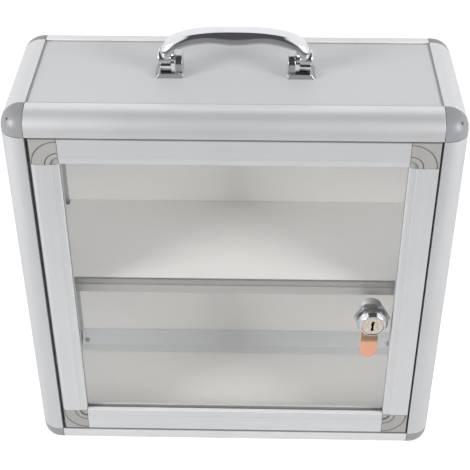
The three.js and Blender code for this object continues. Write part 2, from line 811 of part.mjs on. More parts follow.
function addShelf() {
  const shelfFront = frontFace + shelfFrontSetback;
  const boardFront = shelfFront + shelfTrimDepth + faceGap;
  const notchX = halfWidth - railInnerReach - shelfNotchGap;
  const notchY = shelfRear - shelfNotchDepth;
  const outline = [
    [-shelfHalfWidth, boardFront],
    [shelfHalfWidth, boardFront],
    [shelfHalfWidth, notchY],
    [notchX, notchY],
    [notchX, shelfRear],
    [-notchX, shelfRear],
    [-notchX, notchY],
    [-shelfHalfWidth, notchY],
  ];
  const board = prismGeometry(outline, shelfThickness);
  add(casing, "shelf_board", board, innerBoard, [0, 0, shelfTop - shelfThickness / 2]);
  const trim = [
    [0, 0],
    [shelfTrimDepth, 0],
    [shelfTrimDepth, shelfThickness],
    [shelfTrimGroove, shelfThickness],
    [shelfTrimGroove, shelfThickness - shelfTrimBand],
    [0, shelfThickness - shelfTrimBand - shelfTrimGroove],
  ];
  const strip = prismGeometry(trim, 2 * shelfHalfWidth);
  aim(add(casing, "shelf_edge_trim", strip, shelfEdge, [0, shelfFront, shelfTop - shelfThickness]), Y, Z);
}

function addPegs() {
  const pegHeight = shelfTop - shelfThickness - pegClearance - pegRadius;
  const wall = halfWidth - panelInside;
  const outline = [
    [0, -pegSocketDepth],
    [pegRadius, -pegSocketDepth],
    [pegRadius, faceGap],
    [pegCollarRadius, faceGap],
    [pegCollarRadius, faceGap + pegCollarWidth],
    [pegRadius, faceGap + pegCollarWidth],
    [pegRadius, pegReach],
    [0, pegReach],
  ];
  // The collar is cut level with the top of the peg, so that the shelf rests on the peg itself.
  const [collarSide, collarTop] = [pegCollarRadius, pegCollarRadius + cutMargin];
  const collarTrim = block([-collarSide, -cutMargin, pegRadius], [collarSide, pegReach, collarTop]);
  const peg = geometryOf(solidOf(turnedGeometry(outline, smallSteps)).subtract(collarTrim));
  const rows = { front: frontFace + pegInsets[0], rear: backFace - pegInsets[1] };
  for (const [row, y] of Object.entries(rows)) {
    for (const side of ["left", "right"]) {
      const inward = side === "left" ? X : minus(X);
      const seat = new THREE.Vector3(-inward.x * wall, y, pegHeight);
      const mesh = add(casing, `shelf_peg_${row}_${side}`, peg.clone(), pegSteel, seat.toArray());
      aim(mesh, inward.clone().cross(Z), inward);
      drillInPlace(casing.getObjectByName(`${side}_panel`), [
        {
          point: seat.clone().addScaledVector(inward, cutMargin),
          direction: minus(inward),
          radius: pegRadius + 2 * runningGap,
          length: pegSocketDepth + seamGap + cutMargin,
        },
      ]);
    }
  }
}

// The handle: an arched grip with a knuckle at each end, between the lug and the cheek of a bracket.

class GripLine extends THREE.Curve {
  getPoint(t, target = new THREE.Vector3()) {
    const power = 2 / handleSquareness;
    const start = Math.asin((legStart / handleRise) ** (1 / power));
    const angle = Math.PI - start - t * (Math.PI - 2 * start);
    const across = Math.cos(angle);
    const x = handleHalfSpan * Math.sign(across) * Math.abs(across) ** power;
    const rise = handleRise * Math.sin(angle) ** power;
    const near = Math.min(Math.abs(x) / handleBump, 1);
    return target.set(x, 0, rise - handleDip * Math.cos((near * Math.PI) / 2) ** 2);
  }
}

function gripSolid() {
  const section = [];
  for (let i = 0; i < gripSides; i += 1) {
    const angle = (2 * Math.PI * (i + 0.5)) / gripSides;
    const [c, s] = [Math.cos(angle), Math.sin(angle)];
    const square = (value) => Math.sign(value) * Math.abs(value) ** gripFullness;
    section.push(new THREE.Vector2((handleDepth / 2) * square(c), (handleThickness / 2) * square(s)));
  }
  const sweep = { steps: gripSteps, extrudePath: new GripLine() };
  const bar = new THREE.ExtrudeGeometry(new THREE.Shape(section), sweep);
  let solid = solidOf(bar);
  for (const side of [-1, 1]) {
    const inward = new THREE.Vector3(-side, 0, 0);
    const outer = inward.clone().multiplyScalar(-legOuter);
    solid = solid.add(rodAlong(outer, inward, knuckleRadius, knuckleWidth, roundSteps));
    solid = solid.add(rodAlong(outer, inward, collarRadius, knuckleWidth + collarWidth, roundSteps));
    const bore = inward.clone().multiplyScalar(-pinEnd - seamGap);
    solid = solid.subtract(rodAlong(bore, inward, handlePinRadius + runningGap, pinEnd));
  }
  return solid;
}

// A bracket in its own place on the panel, drawn for the right side with x out from the middle: a foot whose
// outer end leans in, and at its inner end an ear that carries the pin.
function bracketSolid() {
  const outerEnd = bracketInner + bracketLength;
  const half = bracketDepth / 2;
  const foot = prismGeometry(
    [
      [bracketInner, 0],
      [outerEnd, 0],
      [outerEnd - bracketSlope, bracketBase],
      [bracketInner, bracketBase],
    ],
    bracketDepth,
  );
  foot.applyMatrix4(new THREE.Matrix4().makeBasis(X, Z, minus(Y)));
  const crown = arc(0, earHeight - earRound, earRound, 0, 180);
  const ear = prismGeometry([[-half, 0], [half, 0], ...crown], earWidth);
  ear.applyMatrix4(new THREE.Matrix4().makeBasis(Y, Z, X));
  ear.translate(bracketInner + earWidth / 2, 0, 0);
  const pinStart = new THREE.Vector3(bracketInner + pinInset - seamGap, 0, handlePinHeight);
  const pinHole = rodAlong(pinStart, X, handlePinRadius + runningGap, earWidth);
  const screwStart = new THREE.Vector3(bracketInner + earWidth / 2, 0, -cutMargin);
  const screwDepth = handleScrewReach + seamGap + cutMargin;
  const screwHole = rodAlong(screwStart, Z, handleScrewRadius + runningGap, screwDepth);
  return solidOf(foot).add(solidOf(ear)).subtract(pinHole).subtract(screwHole);
}

function addHandle() {
  add(handle, "handle_grip", gripSolid(), chromePlate);
  const bracket = geometryOf(bracketSolid());
  const screwX = bracketInner + earWidth / 2;
  const inside = boxHeight - panelInside;
  const screwOutline = [
    [0, -handleScrewHeadHeight - faceGap],
    [handleScrewHeadRadius, -handleScrewHeadHeight - faceGap],
    [handleScrewHeadRadius, -faceGap],
    [handleScrewRadius, -faceGap],
    [handleScrewRadius, panelThickness + handleScrewReach],
    [0, panelThickness + handleScrewReach],
  ];
  for (const side of ["left", "right"]) {
    const outward = side === "left" ? minus(X) : X;
    const seat = [0, 0, panelTop + faceGap];
    const mesh = add(casing, `handle_bracket_${side}`, bracket.clone(), chromePlate, seat);
    aim(mesh, outward, side === "left" ? minus(Y) : Y);
    const pinStart = outward.clone().multiplyScalar(bracketInner + pinInset);
    const pin = rodAlong(new THREE.Vector3(), outward, handlePinRadius, pinEnd - bracketInner - pinInset);
    add(casing, `handle_pin_${side}`, pin, pinSteel, [pinStart.x, 0, pinHeight]);
    const screw = add(
      casing,
      `handle_screw_${side}`,
      turnedGeometry(screwOutline, smallSteps),
      pinSteel,
      [outward.x * screwX, 0, inside],
    );
    aim(screw, X, Z);
    drillInPlace(casing.getObjectByName("top_panel"), [
      {
        point: new THREE.Vector3(outward.x * screwX, 0, inside - cutMargin),
        direction: Z,
        radius: handleScrewRadius + 2 * runningGap,
        length: panelThickness + 2 * cutMargin,
      },
    ]);
  }
}

addEdgeRails();
addCornerCaps();
addPanels();
addRivets();
addDoorBars();
addDoorCorners();
addPivotPins();
addPane();
addLockBody();
addLockCylinder();
addShelf();
addPegs();
addHandle();

export default lockBox;
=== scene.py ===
"""A countertop lock box: satin aluminium rails, moulded corners, a clear framed door with a cam lock, and a
folding chrome handle, on a plain pale stage. Metres, +X to the right of someone facing the door, +Y to the
back, +Z up.
"""

import json
import math

import bpy
from bpy.props import FloatProperty, FloatVectorProperty, PointerProperty
from mathutils import Matrix, Vector

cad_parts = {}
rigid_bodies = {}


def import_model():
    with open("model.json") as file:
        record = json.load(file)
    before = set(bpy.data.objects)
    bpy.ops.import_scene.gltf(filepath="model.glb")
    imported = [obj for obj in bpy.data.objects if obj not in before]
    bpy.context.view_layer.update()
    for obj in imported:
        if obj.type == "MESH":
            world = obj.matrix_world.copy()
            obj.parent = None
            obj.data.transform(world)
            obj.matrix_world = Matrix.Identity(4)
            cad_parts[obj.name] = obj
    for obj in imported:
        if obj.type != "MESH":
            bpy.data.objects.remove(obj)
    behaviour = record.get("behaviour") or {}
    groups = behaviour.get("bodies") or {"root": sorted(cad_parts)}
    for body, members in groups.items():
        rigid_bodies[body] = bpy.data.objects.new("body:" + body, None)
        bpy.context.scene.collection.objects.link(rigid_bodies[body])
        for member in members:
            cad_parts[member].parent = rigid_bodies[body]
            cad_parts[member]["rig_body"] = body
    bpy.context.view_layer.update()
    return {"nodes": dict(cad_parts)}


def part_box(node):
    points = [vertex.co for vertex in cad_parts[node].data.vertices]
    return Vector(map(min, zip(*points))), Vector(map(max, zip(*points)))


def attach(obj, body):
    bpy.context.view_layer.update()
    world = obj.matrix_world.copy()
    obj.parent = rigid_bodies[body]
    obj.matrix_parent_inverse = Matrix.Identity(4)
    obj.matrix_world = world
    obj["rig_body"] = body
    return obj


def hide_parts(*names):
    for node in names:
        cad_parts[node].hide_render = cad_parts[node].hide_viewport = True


bl_info = {
    "name": "Display lock box",
    "version": (1, 0, 0),
    "blender": (4, 5, 0),
    "location": "3D View > Sidebar > Lock box",
    "description": "Finishes a lock box with a clear door, a cam lock and a folding handle",
    "category": "Add Mesh",
}

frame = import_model()

MM = 0.001
FOOT_LEAN = 0.81  # how far the outer end of a bracket's foot leans in, for each unit of its height
DOOR_FRAME = 20.1 * MM  # how far the door's face reaches in from its edge
DOOR_ARCS = (5.3 * MM, 9.3 * MM, 18.6 * MM)  # radii of the dish's edge and the arcs in the door's corners
PIN_HOLE = 2.1 * MM  # radius of the holes for the handle's pins
NEAR = 0.01 * MM  # closer than this, two places count as one
X, Y, Z = Vector((1, 0, 0)), Vector((0, 1, 0)), Vector((0, 0, 1))


def srgb(red, green, blue):
    """A colour as seen on a screen, 0 to 255 each, in linear light."""

    def linear(level):
        level /= 255
        return level / 12.92 if level <= 0.04045 else ((level + 0.055) / 1.055) ** 2.4

    return tuple(linear(level) for level in (red, green, blue))


def hill(away):
    """1 at 0, falling smoothly to 0 at 1 and past it."""
    return math.cos(min(away, 1) * math.pi / 2) ** 2


# What a user would change


def swatch(name, description, *levels):
    return FloatVectorProperty(
        name=name, description=description, default=srgb(*levels), size=3, min=0, max=1, subtype="COLOR"
    )


def length(name, description, millimetres):
    return FloatProperty(
        name=name, description=description, default=millimetres * MM, min=0, unit="LENGTH", precision=5
    )


class LockBoxColours(bpy.types.PropertyGroup):
    aluminium: swatch("Rails", "Satin aluminium of the edge rails", 210, 211, 213)
    door: swatch("Door bars", "Satin aluminium of the door frame", 202, 203, 205)
    laminate: swatch("Outer panels", "Silver laminate of the top and the sides", 207, 208, 210)
    board: swatch("Inner boards", "Back, bottom and shelf boards", 247, 245, 242)
    cap: swatch("Corner caps", "Grey plastic of the eight corner caps", 133, 134, 137)
    corner: swatch("Door corners", "Grey plastic of the door's corners", 146, 145, 143)
    chrome: swatch("Chrome", "Handle, brackets and lock body", 216, 217, 220)
    nickel: swatch("Plug face", "Warm satin nickel of the lock's plug", 211, 200, 188)
    zinc: swatch("Cam", "Yellow zinc of the lock's cam", 238, 184, 126)
    blush: swatch("Cam blush", "Pink sheen at the cam's tip", 246, 172, 156)
    trim: swatch("Shelf trim", "Grooved strip on the shelf's front", 172, 170, 167)
    steel: swatch("Steel", "Pins, pegs, rivets and screws", 196, 197, 200)
    floor: swatch("Floor", "Pale floor and background", 218, 218, 218)


class LockBoxSizes(bpy.types.PropertyGroup):
    rail_edge: length("Rail edges", "Rounding of the rails' sharp edges", 0.3)
    panel_rise: length("Panel rise", "How far a panel's face stands up between the rails' lips", 0.6)
    panel_gap: length("Panel gap", "Gap between a panel's outer face and the rails' lips", 0.12)
    cap_edge: length("Cap edges", "Rounding of the corner caps' edges", 0.35)
    door_edge: length("Door edges", "Rounding of the door bars' edges", 0.2)
    metal_edge: length("Hardware edges", "Rounding of the brackets' and lock's edges", 0.45)
    grip_depth: length("Grip depth", "Handle grip from front to back", 13)
    grip_thickness: length("Grip thickness", "Handle grip from top to underside", 8.2)
    grip_swell: length("Grip swell", "How much thicker the grip is at its middle", 1.9)
    grip_front_round: length("Grip front edge", "Rounding of the top front edge at the middle", 6.2)
    grip_waist_round: length("Grip waist edge", "Rounding of the same edge beside the middle", 3)
    grip_leg_round: length("Grip leg edge", "Rounding of the same edge along the legs", 5.8)
    grip_round: length("Grip rear edge", "Rounding of the grip's top rear edge", 3)
    grip_under_round: length("Grip lower edges", "Rounding of the grip's two lower edges", 1.8)
    ear_round: length("Ear rounding", "Rounding of the two top corners of a bracket's ear", 5.4)
    ear_drop: length("Ear drop", "How far the ears end below the top of the brackets' solids", 2)
    thread_pitch: length("Thread pitch", "From ridge to ridge along the lock's body", 1)
    thread_depth: length("Thread depth", "Depth of the thread on the lock's body", 0.35)


# Shader expressions


class Wire:
    """A node's output in an expression. Sums and products of it add Math nodes."""

    def __init__(self, graph, socket):
        self.graph = graph
        self.socket = socket

    def maths(self, operation, *values):
        return self.graph.node("Math", dict(enumerate(values or (self,))), operation=operation)

    def __add__(self, other):
        return self.maths("ADD", self, other)

    def __sub__(self, other):
        return self.maths("SUBTRACT", self, other)

    def __mul__(self, other):
        return self.maths("MULTIPLY", self, other)

    def __pow__(self, other):
        return self.maths("POWER", self, other)

    def __rsub__(self, other):
        return self.maths("SUBTRACT", other, self)

    __radd__ = __add__
    __rmul__ = __mul__


class Graph:
    """A node tree that is written as expressions."""

    def __init__(self, tree):
        self.tree = tree
        tree.nodes.clear()

    def node(self, kind, inputs=None, output=0, **settings):
        """A new node's output. Its settings are set first, then its inputs' values or links."""
        made = self.tree.nodes.new(f"ShaderNode{kind}")
        for name, value in settings.items():
            setattr(made, name, value)
        for key, value in (inputs or {}).items():
            socket = made.inputs[key]
            if isinstance(value, Wire):
                self.tree.links.new(value.socket, socket)
            elif socket.type == "RGBA" and len(value) == 3:
                socket.default_value = (*value, 1)
            else:
                socket.default_value = value
        return Wire(self, made.outputs[output])

    def along(self, axis, kind="Object"):
        """Texture coordinates of one kind along one axis."""
        where = self.node("TexCoord", output=kind)
        return self.node("SeparateXYZ", {"Vector": where}, output=axis)

    def past(self, opening):
        """How far across and how far up a place is past the edges of an upright rectangle, which is given by
        its middle and its half size."""
        middle, half = opening
        across = (self.along("X") - middle.x).maths("ABSOLUTE") - half.x
        return across, (self.along("Z") - middle.z).maths("ABSOLUTE") - half.z

    def noise(self, scale, detail=2, roughness=0.5, stretch=(1, 1, 1)):
        """Noise on Object coordinates, which are multiplied by stretch along each axis."""
        where = self.node("TexCoord", output="Object")
        place = self.node("Mapping", {"Vector": where, "Scale": stretch})
        values = {"Vector": place, "Scale": scale, "Detail": detail, "Roughness": roughness}
        return self.node("TexNoise", values)

    def band(self, value, low, high):
        """A smooth step from 0 to 1 as value goes from low to high."""
        values = {"Value": value, "From Min": low, "From Max": high}
        return self.node("MapRange", values, interpolation_type="SMOOTHSTEP")

    def mix(self, factor, first, second):
        values = {0: factor, 6: first, 7: second}
        return self.node("Mix", values, 2, data_type="RGBA")

    def bump(self, height, distance, strength):
        values = {"Height": height, "Distance": distance, "Strength": strength}
        return self.node("Bump", values)

    def ray(self, kind):
        """1 for light of one kind of ray, such as Camera or Glossy, and 0 for the rest."""
        return self.node("LightPath", output=f"Is {kind} Ray")

    def finish_with(self, shader, kind="Material"):
        end = self.tree.nodes.new(f"ShaderNodeOutput{kind}")
        self.tree.links.new(shader.socket, end.inputs["Surface"])


def shaded(colour, level):
    """The colour, lighter or darker by a factor."""
    return tuple(min(1, part * level) for part in colour)


class Finish(Graph):
    """The node tree of a new material."""

    def __init__(self, name):
        self.material = bpy.data.materials.new(name)
        self.material.use_nodes = True
        super().__init__(self.material.node_tree)

    def end(self, shader):
        """Puts the shader on the surface and returns the material."""
        self.finish_with(shader)
        return self.material

    def cover(self, base, metallic, roughness, normal, more=None):
        """Ends in one opaque shader. more holds the values of its other sockets."""
        values = {"Base Color": base, "Metallic": metallic, "Roughness": roughness, "Normal": normal}
        return self.end(self.node("BsdfPrincipled", values | (more or {})))


def extruded_metal(name, colour, axis, roughness, metallic, painted_shade_above=None, opening=None):
    """Satin anodised extrusion: faint die lines along its length, a fine matt grain, slow clouds of tone.
    It is painted darker above a given height: painted shade, as on a face turned away from the light. opening
    is the middle and the half size of the rectangle inside the door's bars, whose narrow inner sides get a
    painted highlight."""
    graph = Finish(name)
    stretch = tuple(0.012 if way == axis else 1 for way in "xyz")
    lines = graph.noise(1500, 3, 0.6, stretch)
    streaks = graph.noise(260, 2, 0.5, stretch)
    grain = graph.noise(3800, 2)
    clouds = graph.noise(18, 3)
    tone = streaks * 0.4 + clouds * 0.35 + lines * 0.25
    base = graph.mix(tone, shaded(colour, 0.88), shaded(colour, 1.1))
    if painted_shade_above:
        # Painted shade: darker above the given height, where the trim's upper face turns away from the light.
        upper = graph.band(graph.along("Z"), painted_shade_above - 0.3 * MM, painted_shade_above + 0.3 * MM)
        base = graph.mix(upper, base, shaded(colour, 0.78))
    if opening:
        # Painted highlight: the narrow inner sides round the door's opening are painted paler and less
        # metallic, paler on the level bars than on the upright ones, as where light falls on them.
        across, up = graph.past(opening)
        side = graph.band(across.maths("MAXIMUM", across, up), 0.3 * MM, 0.1 * MM)
        base = graph.mix(side, base, (0.72, 0.72, 0.73) if axis == "x" else (0.6, 0.6, 0.61))
        metallic = metallic - side * (metallic - 0.2)
    matt = grain * 0.1 + clouds * 0.06 + (roughness - 0.08)
    return graph.cover(base, metallic, matt, graph.bump(lines * 0.6 + grain * 0.4, 0.04 * MM, 0.35))


def moulded_plastic(name, colour, roughness, arcs=None):
    """Moulded plastic: a fine spark-eroded texture and faint flow marks. arcs is the middle and the half
    size of a rectangle, round whose corners the steps of the engraved arcs get painted shade: dark lines
    where shade falls in them."""
    graph = Finish(name)
    pits = graph.noise(2400, 3, 0.6)
    flow = graph.noise(60, 4, 0.5, (1, 1, 0.5))
    base = graph.mix(flow * 0.6 + pits * 0.4, shaded(colour, 0.86), shaded(colour, 1.13))
    if arcs:
        across, up = graph.past(arcs)
        reach = (across * across + up * up) ** 0.5
        # Painted shade: a dark line along each engraved arc's step.
        for radius in DOOR_ARCS:
            off = (reach - radius).maths("ABSOLUTE")
            base = graph.mix(graph.band(off, 0.55 * MM, 0.25 * MM) * 0.75, base, shaded(colour, 0.2))
    matt = pits * 0.16 + flow * 0.08 + (roughness - 0.12)
    return graph.cover(base, 0, matt, graph.bump(pits, 0.1 * MM, 0.5), {"IOR": 1.5})


def laminated_sheet(name, colour, roughness=0.5):
    """Silver laminate on board: a fine speckle, and the slight unevenness of the board under it."""
    graph = Finish(name)
    speckle = graph.noise(1900, 2, 0.7)
    board = graph.noise(9, 3)
    both = speckle * 0.5 + board * 0.5
    base = graph.mix(both, shaded(colour, 0.93), shaded(colour, 1.05))
    matt = speckle * 0.14 + (roughness - 0.07)
    return graph.cover(base, 0, matt, graph.bump(both, 0.05 * MM, 0.3), {"Specular IOR Level": 0.4})


def painted_board(name, colour, roughness=0.55):
    """White-faced board: a soft mottle, fine dust and faint scuffs."""
    graph = Finish(name)
    mottle = graph.noise(7, 4, 0.55)
    dust = graph.noise(900, 3, 0.7)
    scuffs = graph.band(graph.noise(42, 5, 0.65, (1, 1, 0.15)), 0.55, 0.75)
    base = graph.mix(mottle * 0.6 + dust * 0.4, shaded(colour, 0.96), shaded(colour, 1.06))
    worn = graph.mix(scuffs * 0.35, base, shaded(colour, 0.9))
    matt = dust * 0.12 + scuffs * 0.08 + (roughness - 0.06)
    return graph.cover(worn, 0, matt, graph.bump(dust, 0.04 * MM, 0.3))


def plated_metal(name, colour, roughness=0.06, grain=0.02, satin_behind=None):
    """Bright plating: almost a mirror, with faint polishing haze and the ripple of the casting under it.
    It is satin further back than satin_behind, where that is given."""
    graph = Finish(name)
    haze = graph.noise(120, 4, 0.6)
    ripple = graph.noise(90, 2)
    base = graph.mix(haze, shaded(colour, 0.95), shaded(colour, 1.04))
    dullness, metallic = haze * grain * 2 + (roughness - grain), 1.0
    if satin_behind is not None:
        satin = graph.band(graph.along("Y"), satin_behind, satin_behind + 0.4 * MM)
        base = graph.mix(satin, base, shaded(colour, 0.72))
        dullness = dullness + satin * 0.45
        metallic = 1 - satin * 0.7
    return graph.cover(base, metallic, dullness, graph.bump(ripple, 0.2 * MM, 0.25))


def brushed_face(name, colour, face, roughness=0.34):
    """Satin plating with a fine crossed scratch, as on the face of a lock plug, and painted shade in the
    keyway:
    all that is deeper than the face is painted nearly black."""
    graph = Finish(name)
    upright = graph.noise(1700, 3, 0.6, (1, 1, 0.08))
    level = graph.noise(1700, 3, 0.6, (0.08, 1, 1))
    stain = graph.noise(620, 4, 0.65)
    tone = graph.band(upright * 0.3 + level * 0.2 + stain * 0.5, 0.36, 0.64)
    speckled = graph.mix(tone, shaded(colour, 0.7), shaded(colour, 1.25))
    # Painted shade: the keyway and the plug's sides behind its face are painted nearly black, where shade
    # falls.
    keyway = graph.band(graph.along("Y"), face + 0.5 * MM, face + 1.3 * MM)
    base = graph.mix(keyway, speckled, shaded(colour, 0.04))
    scratch = graph.bump(upright * 0.5 + level * 0.5, 0.08 * MM, 0.6)
    return graph.cover(base, 0.9, tone * 0.2 + (roughness - 0.1), scratch)


def passivated_zinc(name, colour, blush, tip, hub):
    """Yellow passivated zinc, golden at the hub and pink at the tip, with uneven clouds in it."""
    graph = Finish(name)
    clouds = graph.noise(190, 4, 0.6)
    drawn = graph.noise(1800, 3, 0.5, (1, 1, 0.05))
    pink = graph.band(graph.along("Z") + (clouds - 0.5) * 0.012, hub, tip)
    base = graph.mix(pink, shaded(colour, 1.02), blush)
    mottled = graph.mix((clouds * 0.6 + drawn * 0.4) * 0.5, base, shaded(colour, 0.82))
    return graph.cover(mottled, 0.85, clouds * 0.14 + 0.26, graph.bump(drawn, 0.05 * MM, 0.4))


def turned_steel(name, colour, roughness=0.3):
    """Plain plated steel of small hardware, a little dulled."""
    graph = Finish(name)
    wear = graph.noise(420, 4, 0.6)
    base = graph.mix(wear, shaded(colour, 0.8), shaded(colour, 1.12))
    return graph.cover(base, 1, wear * 0.2 + (roughness - 0.1), graph.bump(wear, 0.08 * MM, 0.3))


def clear_acrylic(name):
    """A clear sheet: light passes straight through, and each face mirrors more at a low angle."""
    graph = Finish(name)
    smear = graph.noise(16, 4, 0.6, (1, 1, 0.6))
    facing = graph.node("LayerWeight", {"Blend": 0.5}, output="Facing")
    mirror = facing**5 * 0.9 + 0.03
    clear = graph.node("BsdfTransparent", {"Color": (0.99, 0.992, 0.991)})
    polish = {"Base Color": (1, 1, 1), "Metallic": 1, "Roughness": smear * 0.05 + 0.01}
    shine = graph.node("BsdfPrincipled", polish)
    return graph.end(graph.node("MixShader", {0: mirror, 1: clear, 2: shine}))


finishes = {}


def make_finishes(colours):
    """Every finish of the box, by name. Metal with die lines has one for each way that its bars run, and the
    rails' copies are painted lighter or darker by that way: painted light on the level rails, painted shade
    on the upright posts.
    """
    door_low, door_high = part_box("door_corner_bottom_left")[0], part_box("door_corner_top_right")[1]
    opening = ((door_low + door_high) / 2, (door_high - door_low) / 2 - Vector((1, 0, 1)) * DOOR_FRAME)
    # Painted light and shade: each rail copy gets its own brightness level, lighter along X and darker on the
    # upright posts, as the lamps light them.
    rails = {"x": (1.09, 0.53, 0.9), "y": (1.04, 0.55, 0.8), "z": (0.88, 0.55, 0.8)}
    for axis, (level, roughness, metallic) in rails.items():
        name, colour = f"satin_aluminium_{axis}", shaded(colours.aluminium, level)
        finishes[f"rail_{axis}"] = extruded_metal(name, colour, axis, roughness, metallic)
    # The door bars' finishes carry the painted highlight on the inner sides round the opening.
    for axis in "xz":
        name = f"door_aluminium_{axis}"
        finishes[f"door_{axis}"] = extruded_metal(name, colours.door, axis, 0.5, 0.65, opening=opening)
    # Painted light: the back rails, which stand inside the box, are painted paler and far less metallic than
    # the other rails, in place of the light that reaches them.
    back_painted_light_colour = shaded(colours.aluminium, 1.27)
    lock_face, plug_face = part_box("lock_body")[0].y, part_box("lock_plug")[0].y
    flange_depth, trim_shaded_share = 5 * MM, 0.42
    cam_low, cam_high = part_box("lock_cam")
    cam_hub = cam_high.z - 22 * MM
    trim_low, trim_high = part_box("shelf_edge_trim")
    # Painted shade on the shelf trim: the upper share of its height is painted darker, from this line up.
    trim_shade_line = trim_high.z - (trim_high.z - trim_low.z) * trim_shaded_share
    finishes.update(
        back_rail=extruded_metal("back_aluminium_painted_light", back_painted_light_colour, "x", 0.55, 0.25),
        laminate=laminated_sheet("panel_laminate", colours.laminate),
        board=painted_board("inner_board", colours.board),
        cap=moulded_plastic("cap_plastic", colours.cap, 0.36),
        corner=moulded_plastic("corner_plastic", colours.corner, 0.5, opening),
        chrome=plated_metal("chrome_plate", colours.chrome),
        cast=plated_metal("cast_chrome", shaded(colours.chrome, 0.72), 0.13, 0.05),
        lock=plated_metal("lock_chrome", colours.chrome, satin_behind=lock_face + flange_depth),
        nickel=brushed_face("satin_nickel", colours.nickel, plug_face),
        zinc=passivated_zinc("yellow_zinc", colours.zinc, colours.blush, cam_low.z, cam_hub),
        trim=extruded_metal("shelf_edge", colours.trim, "x", 0.42, 0.6, trim_shade_line),
        steel=turned_steel("plated_steel", colours.steel),
        pane=clear_acrylic("clear_pane"),
    )


# Working on meshes


def activate(obj):
    """Leaves obj the only selected object."""
    bpy.ops.object.select_all(action="DESELECT")
    obj.select_set(True)
    bpy.context.view_layer.objects.active = obj


def open_mesh(obj):
    """Opens obj's mesh with all of it selected."""
    activate(obj)
    bpy.ops.object.mode_set(mode="EDIT")
    bpy.ops.mesh.select_mode(type="VERT")
    bpy.ops.mesh.select_all(action="SELECT")


def close_mesh():
    bpy.ops.object.mode_set(mode="OBJECT")


def close_outwards():
    """Closes the open mesh with all its faces turned outwards."""
    bpy.ops.mesh.select_all(action="SELECT")
    bpy.ops.mesh.normals_make_consistent(inside=False)
    close_mesh()


def extrude(way):
    """Extrudes what is selected in the open mesh by way."""
    bpy.ops.mesh.extrude_region_move(TRANSFORM_OT_translate={"value": way})


def pick(obj, kind, rule):
    """Opens obj's mesh with only the points, edges or faces selected for which rule holds.
    It is given a point's place, an edge's two ends, or a face's centre and normal."""
    open_mesh(obj)
    bpy.ops.mesh.select_mode(type=kind)
    bpy.ops.mesh.select_all(action="DESELECT")
    close_mesh()
    mesh = obj.data
    if kind == "VERT":
        for point in mesh.vertices:
            point.select = rule(point.co)
    elif kind == "EDGE":
        for edge in mesh.edges:
            edge.select = rule(*(mesh.vertices[i].co for i in edge.vertices))
    else:
        for face in mesh.polygons:
            face.select = rule(face.center, face.normal)
    bpy.ops.object.mode_set(mode="EDIT")


def modify(obj, kind, **settings):
    """Adds a modifier and applies it."""
    activate(obj)
    modifier = obj.modifiers.new(kind.title(), kind)
    for name, value in settings.items():
        setattr(modifier, name, value)
    bpy.ops.object.modifier_apply(modifier=modifier.name)


def combine(obj, other, operation="UNION"):
    """Joins other to obj, cuts it out of obj or keeps what they share, and removes other."""
    modify(obj, "BOOLEAN", operation=operation, object=other, solver="EXACT")
    mesh = other.data
    bpy.data.objects.remove(other)
    bpy.data.meshes.remove(mesh)


def smooth(obj, angle):
    """Shades smooth across edges that are blunter than angle degrees."""
    activate(obj)
    bpy.ops.object.shade_smooth_by_angle(angle=math.radians(angle))
    modify(obj, "WEIGHTED_NORMAL", keep_sharp=True)


def round_edges(obj, rule, radius, segments):
    """Rounds the edges for whose two ends rule holds."""
    pick(obj, "EDGE", rule)
    bpy.ops.mesh.bevel(offset_type="OFFSET", offset=radius, segments=segments, affect="EDGES")
    close_mesh()


def soften(obj, width, segments=3, angle=30):
    """Rounds the edges that are sharper than angle degrees, and shades the faces smooth."""
    activate(obj)
    bpy.ops.object.shade_smooth()
    sharp = math.radians(angle)
    modify(obj, "BEVEL", width=width, segments=segments, limit_method="ANGLE", angle_limit=sharp)
    modify(obj, "WEIGHTED_NORMAL", keep_sharp=True)


def settle(obj, node, name, finish):
    """Names a finished piece, puts its place in its mesh, and ties it to the node that it stands for."""
    activate(obj)
    bpy.ops.object.transform_apply()
    obj.name = obj.data.name = name
    obj.data.materials.clear()
    obj.data.materials.append(finishes[finish])
    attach(obj, frame["nodes"][node]["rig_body"])
    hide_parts(node)


def nodes_named(*starts):
    return [name for name in frame["nodes"] if name.startswith(starts)]


def new_object(name, data):
    obj = bpy.data.objects.new(name, data)
    bpy.context.scene.collection.objects.link(obj)
    return obj


def node_copy(node):
    """A copy of a node's mesh with its doubled points merged and its flat faces whole."""
    mesh = frame["nodes"][node].data.copy()
    obj = new_object(node + "_copy", mesh)
    activate(obj)
    if mesh.has_custom_normals:
        bpy.ops.mesh.customdata_custom_splitnormals_clear()
    open_mesh(obj)
    bpy.ops.mesh.remove_doubles(threshold=0.004 * MM)
    bpy.ops.mesh.dissolve_limited(angle_limit=math.radians(0.6))
    close_mesh()
    return obj


def finish_node(node, name, finish, edge, segments=3):
    """A node's own shape with its sharp edges rounded."""
    obj = node_copy(node)
    soften(obj, edge, segments)
    settle(obj, node, name, finish)


def new_box(low, high):
    """A cube primitive between two corners."""
    low, high = (Vector(map(end, low, high)) for end in (min, max))
    bpy.ops.object.select_all(action="DESELECT")
    bpy.ops.mesh.primitive_cube_add(size=1, location=(low + high) / 2, scale=high - low)
    bpy.ops.object.transform_apply()
    return bpy.context.object


def new_flat(where, size, scale=(1, 1, 1)):
    """A level square about where, scaled."""
    bpy.ops.object.select_all(action="DESELECT")
    bpy.ops.mesh.primitive_plane_add(size=size, location=where)
    bpy.context.object.scale = scale
    bpy.ops.object.transform_apply()
    return bpy.context.object


def drawn(points):
    """A line of edges through points, left open with all of it selected."""
    line = new_flat(points[0], MM)
    open_mesh(line)
    bpy.ops.mesh.merge(type="CENTER")
    for before, after in zip(points, points[1:]):
        extrude(after - before)
    bpy.ops.mesh.select_all(action="SELECT")
    return line


